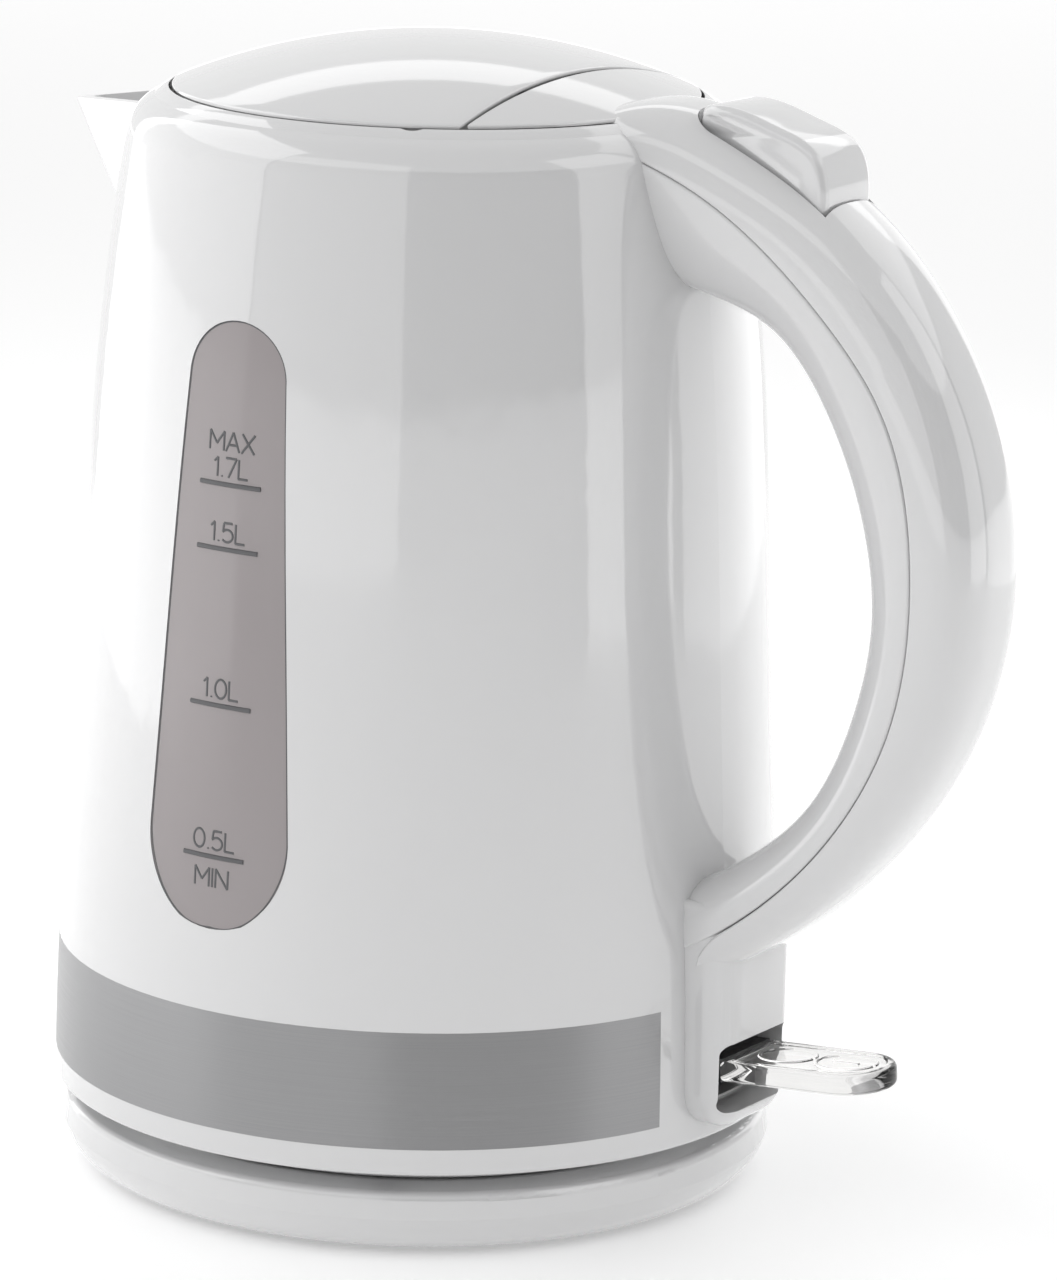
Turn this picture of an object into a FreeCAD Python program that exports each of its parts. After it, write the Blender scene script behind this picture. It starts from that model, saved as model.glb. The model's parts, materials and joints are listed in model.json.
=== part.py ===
import FreeCAD
import Part
import math
import os

# Cordless electric kettle, 1.7 litre, on a round power base. Millimetres, +Z up.
# The origin is on the kettle's vertical axis, in the plane that the base's feet stand on.
# The spout points to -X, the handle to +X, and the two water windows face -Y and +Y.

V = FreeCAD.Vector

# ---------------------------------------------------------------- driving dimensions
WALL = 2.6                      # wall of the jug
SHELL = 2.3                     # wall of the handle, lid and base shells
BASE_TOP = 14.6                 # top face of the power base
BASE_R = 76.3                   # greatest radius of the power base
JUG_BOTTOM = 19.0               # lower edge of the jug's wall
SHOULDER_Z = 222.0              # where the jug's side turns into the top ring
NECK_R = 55.9                   # bore that the lid closes
RING_Z = 231.2                  # top of the ring round the lid
# outer radius of the jug, from the lower edge up to the shoulder
JUG_PROFILE = [(78.0, 19.0), (76.9, 61.0), (74.7, 101.0), (69.7, 181.8), (64.5, SHOULDER_Z)]

LID_R = 55.2                    # lid edge, inside the ring
DOME_TOP = 243.0                # crown of the lid
LID_SPLIT_X = 35.0              # the lid ends here and the fixed rear cover begins
LID_GAP = 0.6
LID_RELIEF_R = 4.0              # small hollow in the ring, each side, that the opening lid swings past
LID_RELIEF_OUT = 52.8           # distance of its centre from the jug's axis
LID_RELIEF_ANGLE = 60.7
LID_RELIEF_Z = 228.5
HINGE_X, HINGE_Z = 26.0, 229.5  # lid hinge, parallel to Y
PIN_R = 1.5
PIN_FIT = 0.05                  # radial running clearance on every hinge pin

PLATE_TOP = 50.0                # wet face of the heating plate
LOWER_BORE = 74.2               # bore of the jug under the heating plate
LEDGE_Z = 51.0                  # underside of the ledge that the plate is sealed to

BAND_Z0, BAND_Z1 = 24.7, 49.4   # metal trim band
BAND_T = 0.6
BAND_GAP_ANGLE = 15.4           # the band stops this far each side of the handle

WINDOW_Z0, WINDOW_Z1 = 66.6, 191.7
WINDOW_TOP_HALF = 12.0
WINDOW_LOW_HALF = 17.4
WINDOW_GAP = 0.12

SPOUT_TIP = (-93.4, 220.4)
SPOUT_ROOT_Z = 224.7            # height of the spout's rim where it meets the ring
SPOUT_HALF_ANGLE = 31.0         # each flank of the V, seen from above

GRIP_HALF = 14.0                # half width of the handle
ROOT_HALF = 16.5                # half width where it leaves the lid cover
PANEL_HALF = 13.7               # half width of the switch panel
PANEL_X = 86.5                  # front face of the switch panel
PANEL_Z0, PANEL_Z1 = 22.5, 72.0
SLOT_Z0, SLOT_Z1 = 27.0, 42.0   # slot for the switch lever
SLOT_HALF = 12.5

LEVER_PIVOT = (78.6, 34.6)
LEVER_TIP_X = 118.0
LEVER_HALF = 10.0
LEVER_T = 4.8
LEVER_TILT = 4.6                # degrees, raised, which is the off position

BUTTON_PIVOT = (73.5, 228.0)
BUTTON_TIP = (92.0, 214.6)      # round foot of the leg that works the latch
RAMP_ANGLE = 27.0               # slope of the latch's ramp under that foot
RAMP_GAP = 0.35
RAMP_Y0, RAMP_Y1 = -0.9, 3.6
BUTTON_HALF = 9.4
SPRING_SEAT = (90.5, -5.5, 206.0, 217.6)    # x, y, foot and top of the spring under the button

TOWER_R = 14.5                  # base connector that enters the jug's socket
TOWER_TOP = 30.5
SOCKET_R = 15.3
SLOT_RINGS = [(8.2, 9.4), (11.0, 12.2)]

# the handle in side view: outer face and inner face, from the lid down to the panel
HANDLE_OUTER = [(46, 232.5), (62, 235), (80, 229.3), (98.6, 220), (119, 201.8), (133.6, 176),
                (139, 145.8), (133.9, 116), (115.2, 84.3), (92, 63), (78, 54.5)]
HANDLE_INNER = [(54, 200.5), (73, 196), (87.8, 190.8), (101.6, 174.7), (110.6, 152.2),
                (112.8, 136), (109.4, 115.8), (100, 95.5), (86.8, 82.8), (71, 73.5)]
# the parting line between the outer shell and the grip, on the flank
HANDLE_SEAM = [(44, 230), (60, 224.8), (74.2, 219.1), (101.1, 199.2), (118.6, 177.3),
               (125.5, 147), (122.1, 115.6), (107.4, 88.4), (91.4, 72.1), (79, 63.2)]
HANDLE_STATIONS = 13


# ---------------------------------------------------------------- helpers
def xz(x, z):
    return V(x, 0, z)


def line(a, b):
    return Part.LineSegment(a, b).toShape()


def arc(a, b, c):
    return Part.Arc(a, b, c).toShape()


def spline(points):
    curve = Part.BSplineCurve()
    curve.interpolate(points)
    return curve


def face(*edges):
    return Part.Face(Part.Wire(Part.__sortEdges__(list(edges))))


def poly(points):
    return Part.Face(Part.makePolygon(points + [points[0]]))


def turn(profile, angle=360.0, start=0.0):
    solid = profile.revolve(V(0, 0, 0), V(0, 0, 1), angle)
    if start:
        solid.rotate(V(0, 0, 0), V(0, 0, 1), start)
    return solid


def ring(r0, r1, z0, z1, angle=360.0, start=0.0):
    return turn(poly([xz(r0, z0), xz(r1, z0), xz(r1, z1), xz(r0, z1)]), angle, start)


def cylinder(r, z0, z1, x=0.0, y=0.0):
    return Part.makeCylinder(r, z1 - z0, V(x, y, z0))


def rod_x(r, x0, x1, y, z):
    return Part.makeCylinder(r, x1 - x0, V(x0, y, z), V(1, 0, 0))


def rod_y(r, y0, y1, x, z):
    return Part.makeCylinder(r, y1 - y0, V(x, y0, z), V(0, 1, 0))


def box(x0, x1, y0, y1, z0, z1):
    return Part.makeBox(x1 - x0, y1 - y0, z1 - z0, V(x0, y0, z0))


def prism_y(outline, half):
    shape = outline.copy()
    shape.translate(V(0, -half, 0))
    return shape.extrude(V(0, 2 * half, 0))


def mirrored(shape):
    return shape.mirror(V(0, 0, 0), V(0, 1, 0))


def solids(shape):
    """Cleaned copy: one solid, or a compound of its separate solids."""
    merged = shape.copy().removeSplitter()
    found = merged.Solids if merged.isValid() else shape.Solids
    return found[0] if len(found) == 1 else Part.makeCompound(found)


def helix_spring(radius, wire, turns, z0, z1, x=0.0, y=0.0):
    """Round wire coil, built as one tube along a helix."""
    height = z1 - z0 - 2 * wire
    path = Part.makeHelix(height / turns, height, radius)
    section = Part.Wire(Part.Circle(V(radius, 0, 0), V(0, 1, 0), wire).toShape())
    coil = Part.Wire(path).makePipeShell([section], True, True)
    coil.translate(V(x, y, z0 + wire))
    return coil


def arc_route(points, share=0.42):
    """Straight runs joined by tangent arcs, through the given corner points."""
    edges = []
    here = points[0]
    for before, corner, after in zip(points, points[1:], points[2:]):
        a = (before - corner).normalize()
        b = (after - corner).normalize()
        reach = share * min(before.distanceToPoint(corner), after.distanceToPoint(corner))
        start = corner + a * reach
        end = corner + b * reach
        half = a.getAngle(b) / 2
        out = (a + b).normalize()
        middle = corner + out * (reach / math.cos(half) - reach * math.tan(half))
        edges.append(line(here, start))
        edges.append(arc(start, middle, end))
        here = end
    edges.append(line(here, points[-1]))
    return Part.Wire(edges)


def tube(points, r_out, r_in=0.0):
    route = arc_route(points)
    along = points[1] - points[0]
    outer = Part.Wire(Part.Circle(points[0], along, r_out).toShape())
    body = route.makePipeShell([outer], True, False)
    if r_in:
        inner = Part.Wire(Part.Circle(points[0], along, r_in).toShape())
        body = body.cut(route.makePipeShell([inner], True, False))
    return body


def screw_up(x, y, z0, length, r_head=3.0, r_shank=1.5):
    """Pan-head screw driven upwards; its head starts at z0."""
    head = cylinder(r_head, z0, z0 + 1.8, x, y)
    drive = box(x - 2, x + 2, y - 0.4, y + 0.4, z0, z0 + 0.9)
    drive = drive.fuse(box(x - 0.4, x + 0.4, y - 2, y + 2, z0, z0 + 0.9))
    return head.cut(drive).fuse(cylinder(r_shank, z0 + 1.8, z0 + length, x, y))


def screw_x(x0, y, z, length, r_head=2.6, r_shank=1.4):
    """Pan-head screw driven along +X; its head starts at x0."""
    head = rod_x(r_head, x0, x0 + 1.6, y, z)
    drive = box(x0, x0 + 0.8, y - 1.8, y + 1.8, z - 0.4, z + 0.4)
    drive = drive.fuse(box(x0, x0 + 0.8, y - 0.4, y + 0.4, z - 1.8, z + 1.8))
    return head.cut(drive).fuse(rod_x(r_shank, x0 + 1.6, x0 + length, y, z))


def around(count, radius, first=0.0):
    for i in range(count):
        angle = math.radians(first + i * 360.0 / count)
        yield radius * math.cos(angle), radius * math.sin(angle)


# ---------------------------------------------------------------- shared shapes
def side_edge(inset):
    return spline([xz(r - inset, z) for r, z in JUG_PROFILE]).toShape()


def jug_outside(inset=0.0):
    """Full solid inside the jug's outer surface, from the lower edge up to the ring."""
    side = side_edge(inset)
    shoulder = arc(xz(64.5 - inset, SHOULDER_Z), xz(62.4 - inset, 226.8),
                   xz(58.7 - inset, 229.5))
    crown = arc(xz(58.7 - inset, 229.5), xz(57.6 - inset, 230.4), xz(56.2, RING_Z - inset))
    return turn(face(side, shoulder, crown,
                     line(xz(56.2, RING_Z - inset), xz(0, RING_Z - inset)),
                     line(xz(0, RING_Z - inset), xz(0, JUG_BOTTOM)),
                     line(xz(0, JUG_BOTTOM), xz(78.0 - inset, JUG_BOTTOM))))


def jug_inside():
    """Everything hollow inside the jug's wall, above the plate ledge."""
    side = spline([xz(r - WALL, z) for r, z in JUG_PROFILE])
    low = side.toShape().common(box(0, 200, -1, 1, 55, SHOULDER_Z - 1.5)).Edges[0]
    ends = sorted((v.Point for v in low.Vertexes), key=lambda p: p.z)
    return turn(face(low,
                     line(ends[1], xz(NECK_R, 225.5)),
                     line(xz(NECK_R, 225.5), xz(NECK_R, 240)),
                     line(xz(NECK_R, 240), xz(0, 240)),
                     line(xz(0, 240), xz(0, LEDGE_Z)),
                     line(xz(0, LEDGE_Z), xz(69.5, LEDGE_Z)),
                     line(xz(69.5, LEDGE_Z), xz(69.5, LEDGE_Z + 2)),
                     line(xz(69.5, LEDGE_Z + 2), ends[0])))


def dome(inset=0.0):
    """Part of a ball: the crowned top that lid and rear cover share."""
    rise = DOME_TOP - RING_Z
    radius = (LID_R ** 2 + rise ** 2) / (2 * rise)
    ball = Part.makeSphere(radius - inset, V(0, 0, DOME_TOP - radius))
    return ball


def spout_section(z, apex_x, nose):
    """Rounded V in a level plane: nose radius at the apex, flanks back into the jug."""
    half = math.radians(SPOUT_HALF_ANGLE)
    centre = apex_x + nose
    tx = centre - nose * math.sin(half)
    ty = nose * math.cos(half)
    back = -46.0
    by = ty + (back - tx) * math.tan(half)
    return Part.Wire([line(V(back, -by, z), V(tx, -ty, z)),
                      arc(V(tx, -ty, z), V(apex_x, 0, z), V(tx, ty, z)),
                      line(V(tx, ty, z), V(back, by, z)),
                      line(V(back, by, z), V(back, -by, z))])


def spout_block(inset):
    """Solid of the spout; the inset one is its channel."""
    slope = inset / math.sin(math.radians(SPOUT_HALF_ANGLE))
    keel = [(178.0, -68.5), (190.0, -75.5), (205.0, -84.6), (220.4, SPOUT_TIP[0]), (230.0, -98.0)]
    noses = [9.0, 7.5, 5.5, 3.6, 3.0]
    wires = []
    for (z, x), nose in zip(keel, noses):
        wires.append(spout_section(z, x + slope, max(nose - inset * 0.6, 1.2)))
    return Part.makeLoft(wires, True, False)


def window_outline(grow=0.0):
    """Long window outline, narrower at its full-round top."""
    top_r = WINDOW_TOP_HALF + grow
    low = WINDOW_LOW_HALF + grow
    shoulder_z = WINDOW_Z1 - WINDOW_TOP_HALF
    foot = WINDOW_Z0 - grow
    edges = [arc(xz(-top_r, shoulder_z), xz(0, WINDOW_Z1 + grow), xz(top_r, shoulder_z)),
             line(xz(top_r, shoulder_z), xz(low, 86)),
             arc(xz(low, 86), xz(low - 3.3, foot + 7.6), xz(low - 9.6, foot + 1.5)),
             arc(xz(low - 9.6, foot + 1.5), xz(0, foot), xz(-low + 9.6, foot + 1.5)),
             arc(xz(-low + 9.6, foot + 1.5), xz(-low + 3.3, foot + 7.6), xz(-low, 86)),
             line(xz(-low, 86), xz(-top_r, shoulder_z))]
    return Part.Face(Part.Wire(edges))


def window_prism(grow=0.0):
    shape = window_outline(grow)
    shape.translate(V(0, -95, 0))
    return shape.extrude(V(0, 60, 0))


def handle_section(outer, inner, half, taper, inset):
    """Squarish oval between one point of the outer face and one of the inner face."""
    middle = (outer + inner) * 0.5
    along = (outer - inner).normalize()
    depth = (outer - inner).Length / 2
    reach = outer.distanceToPoint(inner) / 2 - inset
    points = []
    for i in range(-10, 11):
        angle = math.pi * i / 20
        c, s = math.cos(angle), math.sin(angle)
        u = math.copysign(abs(s) ** 0.72, s)
        width = (half - inset) * (1 + taper * u * reach / depth) * c ** 0.72
        points.append((middle + along * (reach * u), V(0, width, 0)))
    near = spline([p - w for p, w in points]).toShape()
    far = spline([p + w for p, w in reversed(points)]).toShape()
    return Part.Wire([near, far])


def handle_block(inset):
    """The whole handle as one curved bar, or the hollow inside it."""
    outer = spline([xz(x, z) for x, z in HANDLE_OUTER])
    inner = spline([xz(x, z) for x, z in HANDLE_INNER])
    count = HANDLE_STATIONS
    outer_points = outer.discretize(Number=count)
    inner_points = inner.discretize(Number=count)
    wires = []
    for i in range(count):
        t = i / (count - 1)
        fade = max(0.0, 1 - t / 0.35)
        half = GRIP_HALF + (ROOT_HALF - GRIP_HALF) * fade
        taper = 0.26 * fade
        wires.append(handle_section(outer_points[i], inner_points[i], half, taper, inset))
    return Part.makeLoft(wires, True, False)


def seam_region():
    """Side-view area on the outer side of the parting line, with its round lower end."""
    seam = spline([xz(x, z) for x, z in HANDLE_SEAM])
    first = xz(*HANDLE_SEAM[0])
    last = xz(*HANDLE_SEAM[-1])
    end = xz(83.5, 55.0)
    return face(seam.toShape(), arc(last, xz(77.6, 59.0), end),
                line(end, xz(84, 40)), line(xz(84, 40), xz(170, 40)),
                line(xz(170, 40), xz(170, 260)), line(xz(170, 260), xz(44, 260)),
                line(xz(44, 260), first))


def panel_block(inset):
    """Switch panel at the foot of the handle, rounded at its front and its lower end."""
    half = PANEL_HALF - inset
    z0 = PANEL_Z0 + inset
    r = 8.5 - inset
    c = r * (1 - math.sqrt(0.5))
    x = 66.0
    low = [line(V(x, -half + r, z0), V(x, half - r, z0)),
           arc(V(x, half - r, z0), V(x, half - c, z0 + c), V(x, half, z0 + r)),
           line(V(x, half, z0 + r), V(x, half, PANEL_Z1 - inset)),
           line(V(x, half, PANEL_Z1 - inset), V(x, -half, PANEL_Z1 - inset)),
           line(V(x, -half, PANEL_Z1 - inset), V(x, -half, z0 + r)),
           arc(V(x, -half, z0 + r), V(x, -half + c, z0 + c), V(x, -half + r, z0))]
    block = Part.Face(Part.Wire(low)).extrude(V(PANEL_X - inset - x, 0, 0))
    front = [e for e in block.Edges if e.BoundBox.XMin > PANEL_X - inset - 0.01]
    return block.makeFillet(6.0 - inset, front)


def lid_sweep(grow):
    """Space that the lid's rear edge passes through as it turns about its hinge."""
    rise = DOME_TOP - RING_Z
    ball = (LID_R ** 2 + rise ** 2) / (2 * rise)
    reach = LID_SPLIT_X - HINGE_X

    def corner(y):
        top = math.sqrt(ball ** 2 - LID_SPLIT_X ** 2 - y ** 2) - ball + DOME_TOP
        return math.hypot(reach, top - HINGE_Z) + grow

    ends = corner(43.0)
    outline = face(line(V(HINGE_X, -60, HINGE_Z), V(HINGE_X, -60, HINGE_Z + ends - 2.5)),
                   line(V(HINGE_X, -60, HINGE_Z + ends - 2.5), V(HINGE_X, -43, HINGE_Z + ends)),
                   arc(V(HINGE_X, -43, HINGE_Z + ends), V(HINGE_X, 0, HINGE_Z + corner(0.0)),
                       V(HINGE_X, 43, HINGE_Z + ends)),
                   line(V(HINGE_X, 43, HINGE_Z + ends), V(HINGE_X, 60, HINGE_Z + ends - 2.5)),
                   line(V(HINGE_X, 60, HINGE_Z + ends - 2.5), V(HINGE_X, 60, HINGE_Z)),
                   line(V(HINGE_X, 60, HINGE_Z), V(HINGE_X, -60, HINGE_Z)))
    return outline.revolve(V(HINGE_X, 0, HINGE_Z), V(0, 1, 0), 360)


JUG_OUT = jug_outside()
HANDLE_SOLID = handle_block(0.0)
HANDLE_HOLLOW = handle_block(SHELL)
OUTER_REGION = prism_y(seam_region(), 40)
LID_SWEEP = lid_sweep(LID_GAP)

COVER_SCREWS = list(around(3, 71.0, 60.0))
FLANGE_SCREWS = [(-7.0, 208.0), (7.0, 208.0)]
PANEL_SCREWS = [(-7.5, 24.9), (7.5, 24.9)]
STEAM_PORT = (6.5, 217.0)
BASE_SCREWS = list(around(4, 48.0, 45.0))
BASE_FEET = list(around(4, 55.0))


# ---------------------------------------------------------------- power base
def base_top_shell():
    outer = [arc(xz(66, 0.8), xz(73.6, 3.4), xz(BASE_R, 9.0)),
             line(xz(BASE_R, 9.0), xz(75.8, 12.8)),
             arc(xz(75.8, 12.8), xz(75.2, 14.1), xz(73.8, BASE_TOP)),
             line(xz(73.8, BASE_TOP), xz(TOWER_R + 0.5, BASE_TOP)),
             line(xz(TOWER_R + 0.5, BASE_TOP), xz(TOWER_R + 0.5, BASE_TOP - SHELL)),
             line(xz(TOWER_R + 0.5, BASE_TOP - SHELL), xz(73.4, BASE_TOP - SHELL)),
             arc(xz(73.4, BASE_TOP - SHELL), xz(74.0, 9.0), xz(70.4, 4.8)),
             line(xz(70.4, 4.8), xz(64.2, 2.8)),
             line(xz(64.2, 2.8), xz(64.2, 0.8)),
             line(xz(64.2, 0.8), xz(66, 0.8))]
    shell = turn(face(*outer))
    for x, y in BASE_SCREWS:
        shell = shell.fuse(cylinder(4.0, 4.4, BASE_TOP - SHELL, x, y))
    for x, y in BASE_SCREWS:
        shell = shell.cut(cylinder(1.5, 2.0, 10.0, x, y))
    return shell.cut(rod_y(4.2, 60, 90, 0, 7.6))


def base_bottom_cover():
    cover = cylinder(64.0, 0.8, 2.8)
    for x, y in BASE_SCREWS:
        cover = cover.fuse(cylinder(5.2, 2.8, 4.4, x, y))
        cover = cover.cut(cylinder(3.3, 0.0, 2.7, x, y)).cut(cylinder(1.7, 0.0, 5.0, x, y))
    for x, y in BASE_FEET:
        cover = cover.cut(cylinder(6.0, 0.0, 1.8, x, y))
    for i in range(6):
        vent = box(24, 36, -1.2, 1.2, 0, 4)
        vent.rotate(V(0, 0, 0), V(0, 0, 1), 30 + 60 * i)
        cover = cover.cut(vent)
    return cover


def base_feet():
    return Part.makeCompound([cylinder(6.0, 0.0, 1.8, x, y) for x, y in BASE_FEET])


def base_screws():
    return Part.makeCompound([screw_up(x, y, 0.9, 8.6, 2.9) for x, y in BASE_SCREWS])


def base_connector():
    tower = cylinder(TOWER_R, 4.0, TOWER_TOP).fuse(cylinder(20.0, 9.9, BASE_TOP - SHELL))
    rim = [e for e in tower.Edges if abs(e.BoundBox.ZMin - TOWER_TOP) < 0.01]
    tower = tower.makeFillet(1.2, rim)
    tower = tower.cut(cylinder(6.4, 5.2, TOWER_TOP + 1))
    for r0, r1 in SLOT_RINGS:
        tower = tower.cut(ring(r0, r1, 16.0, TOWER_TOP + 1))
    return tower


def base_contacts():
    pads = []
    for start in (40, 160, 280):
        for r0, r1 in SLOT_RINGS:
            pads.append(ring(r0, r1, 16.0, 17.4, 40, start))
    return Part.makeCompound(pads)


def connector_core():
    core = cylinder(6.1, 9.4, TOWER_TOP)
    rim = [e for e in core.Edges if abs(e.BoundBox.ZMin - TOWER_TOP) < 0.01]
    core = core.makeFillet(0.8, rim)
    core = core.cut(cylinder(3.2, 14.0, TOWER_TOP + 1))
    return core.cut(box(-6.2, -4.6, -0.8, 0.8, 26, TOWER_TOP + 1))


def core_spring():
    return helix_spring(4.2, 0.4, 1.6, 5.3, 9.3)


def cord_bush():
    bush = rod_y(4.2, 69.5, 75.4, 0, 7.6).fuse(rod_y(5.2, 68.0, 69.5, 0, 7.6))
    return bush.cut(rod_y(3.1, 60, 90, 0, 7.6)).cut(base_top_shell())


# ---------------------------------------------------------------- jug
def spout_rim_tool():
    """Everything above the sloping rim of the spout, in front of the ring."""
    slope = (SPOUT_ROOT_Z - SPOUT_TIP[1]) / (-60.0 - SPOUT_TIP[0])
    low = SPOUT_ROOT_Z + slope * (-110 + 60)
    high = SPOUT_ROOT_Z + slope * (-40 + 60)
    return prism_y(poly([xz(-110, low), xz(-40, high), xz(-40, 250), xz(-110, 250)]), 60)


def jug_body():
    body = JUG_OUT.fuse(spout_block(0.0).cut(spout_rim_tool()))
    channel = spout_block(2.2)
    low_channel = channel.common(box(-120, 0, -60, 60, 150, 220.0))
    top_channel = channel.common(box(-120, -55, -60, 60, 219.0, 240)).cut(JUG_OUT)
    body = body.cut(jug_inside()).cut(low_channel).cut(top_channel)
    body = body.cut(cylinder(LOWER_BORE, JUG_BOTTOM - 1, LEDGE_Z))
    body = body.cut(cylinder(75.0, JUG_BOTTOM - 1, JUG_BOTTOM + 2.6))
    lip = [e for e in body.Edges if e.BoundBox.ZMax < JUG_BOTTOM + 0.01
           and e.BoundBox.XMax > 77.0]
    body = body.makeFillet(1.0, lip)
    window = window_prism()
    body = body.cut(window).cut(mirrored(window))
    body = body.cut(trim_band_solid())
    for x, y in COVER_SCREWS:
        boss = cylinder(4.0, JUG_BOTTOM + 2.6, 44.0, x, y)
        body = body.fuse(boss.common(cylinder(LOWER_BORE + 0.4, 0, 60)))
    for x, y in COVER_SCREWS:
        body = body.cut(cylinder(1.5, JUG_BOTTOM, 36.0, x, y))
    for y, z in FLANGE_SCREWS:
        body = body.fuse(rod_x(3.4, 56.0, 64.5, y, z))
    for y, z in FLANGE_SCREWS:
        body = body.cut(rod_x(1.4, 55.0, 80.0, y, z))
    for y, z in PANEL_SCREWS:
        body = body.cut(rod_x(1.4, 70.0, 90.0, y, z))
    body = body.cut(rod_x(2.3, 50.0, 80.0, *STEAM_PORT))
    for side in (-1, 1):
        rail = turn(poly([xz(61.2, 188), xz(68, 188), xz(64, 219), xz(59.5, 219)]), 1.6,
                    180 + side * 27 - 0.8)
        body = body.fuse(rail.common(JUG_OUT))
    relief = math.radians(LID_RELIEF_ANGLE)
    for side in (-1, 1):
        x = LID_RELIEF_OUT * math.cos(relief)
        y = side * LID_RELIEF_OUT * math.sin(relief)
        body = body.cut(cylinder(LID_RELIEF_R, LID_RELIEF_Z, 240, x, y))
    body = body.cut(box(50, 70, -6.5, 6.5, 226.4, 240))
    return body.cut(box(70, 90, -11.5, 11.5, 27.5, 41.5))


def trim_band_solid():
    """Thin metal band let flush into the jug's wall."""
    outer = side_edge(0.0).common(box(0, 200, -1, 1, BAND_Z0, BAND_Z1)).Edges[0]
    ends = sorted((v.Point for v in outer.Vertexes), key=lambda p: p.z)
    inner = [p - V(BAND_T, 0, 0) for p in ends]
    profile = face(outer, line(ends[1], inner[1]), line(inner[1], inner[0]),
                   line(inner[0], ends[0]))
    return turn(profile, 360 - 2 * BAND_GAP_ANGLE, BAND_GAP_ANGLE)


def water_window():
    wall = jug_outside(0.25).cut(jug_inside())
    return wall.common(window_prism(-WINDOW_GAP))


def heating_plate():
    return cylinder(72.0, PLATE_TOP - 1.0, PLATE_TOP)


def plate_seal():
    return ring(68.6, LOWER_BORE, 47.4, LEDGE_Z).cut(heating_plate())


def plate_clamp():
    clamp = ring(68.6, LOWER_BORE - 0.2, 44.4, 47.4)
    for x, y in around(6, 71.4):
        clamp = clamp.cut(cylinder(1.0, 44, 45.4, x, y))
    return clamp


def heating_element():
    bar = ring(41.0, 49.0, 43.2, PLATE_TOP - 1.0, 300, 120)
    ends = [e for e in bar.Edges if e.BoundBox.ZMax < 43.3 and e.BoundBox.XLength > 60]
    bar = bar.makeFillet(2.2, ends)
    for angle in (124.0, 56.0):
        a = math.radians(angle)
        x, y = 45 * math.cos(a), 45 * math.sin(a)
        bar = bar.fuse(cylinder(1.6, 33.0, 45.0, x, y))
    return bar


def control_housing():
    housing = cylinder(31.0, 38.0, 44.0)
    for x in (-17.0, 17.0):
        housing = housing.fuse(cylinder(7.0, 44.0, 48.0, x, 0))
    housing = housing.fuse(box(28, 66, -8, 8, 38.0, 42.4))
    return housing.cut(box(40, 62, -6, 6, 39.5, 44))


def bimetal_discs():
    return Part.makeCompound([cylinder(9.0, 48.0, PLATE_TOP - 1.0, x, 0) for x in (-17.0, 17.0)])


def steam_bimetal():
    plate = box(42, 58, -5, 5, 39.5, 40.1)
    return plate.cut(box(45, 55, -2.5, 2.5, 39, 41))


def jug_connector():
    shell = cylinder(19.0, JUG_BOTTOM + 0.4, 38.0).cut(cylinder(SOCKET_R, JUG_BOTTOM, 33.6))
    return shell.cut(cylinder(17.0, JUG_BOTTOM, JUG_BOTTOM + 1.6))


def connector_rings():
    rings = [ring(r0 + 0.35, r1 - 0.35, 18.2, 33.6) for r0, r1 in SLOT_RINGS]
    return Part.makeCompound(rings + [cylinder(2.4, 18.2, 33.6)])


def lead_wires():
    wires = []
    for angle, y in ((124.0, 20.0), (56.0, 14.0)):
        a = math.radians(angle)
        x0, y0 = 45 * math.cos(a), 45 * math.sin(a)
        route = [V(x0, y0, 33.0), V(x0, y0, 27.0), V(x0 * 0.6, y, 27.0), V(x0 * 0.6, y, 38.0)]
        wires.append(tube(route, 1.3))
    return Part.makeCompound(wires)


def bottom_cover():
    cover = ring(19.3, 74.8, JUG_BOTTOM + 0.3, JUG_BOTTOM + 2.6)
    cover = cover.fuse(ring(63.0, 66.0, BASE_TOP + 0.4, JUG_BOTTOM + 0.3))
    cover = cover.fuse(ring(30.0, 32.0, BASE_TOP + 0.4, JUG_BOTTOM + 0.3))
    for x, y in COVER_SCREWS:
        cover = cover.cut(cylinder(1.7, 10, 30, x, y))
        cover = cover.cut(cylinder(3.2, 10, JUG_BOTTOM + 1.4, x, y))
    return cover


def bottom_screws():
    z0 = JUG_BOTTOM - 0.4
    return Part.makeCompound([screw_up(x, y, z0, 15.0) for x, y in COVER_SCREWS])


def spout_filter_frame():
    outer = turn(poly([xz(63.6, 187), xz(65.3, 187), xz(61.2, 219), xz(59.5, 219)]), 46, 157)
    for side in (-1, 1):
        pane = turn(poly([xz(60, 190.5), xz(68, 190.5), xz(66, 215.5), xz(56, 215.5)]), 18.6,
                    180 + side * 11.4 - 9.3)
        outer = outer.cut(pane)
    tab = box(-57.5, -50.0, -5, 5, 213.0, 215.0)
    return outer.fuse(tab.fuse(box(-60.6, -57, -5, 5, 213.0, 215.0)))


def spout_filter_mesh():
    panes = []
    for side in (-1, 1):
        panes.append(turn(poly([xz(63.9, 190.5), xz(64.3, 190.5), xz(61.1, 215.5),
                                xz(60.7, 215.5)]), 18.6, 180 + side * 11.4 - 9.3))
    return Part.makeCompound(panes)


# ---------------------------------------------------------------- lid
def lid_outer():
    """Crowned shell with a short skirt, cut off straight at the rear."""
    skirt_z = RING_Z - 2.2
    blank = cylinder(LID_R, skirt_z, 250.0).common(dome())
    hollow = cylinder(LID_R - 2.2, skirt_z - 1, 250.0).common(dome(SHELL))
    lid = blank.cut(hollow)
    return lid.cut(box(LID_SPLIT_X, 80, -80, 80, 200, 260))


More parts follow.
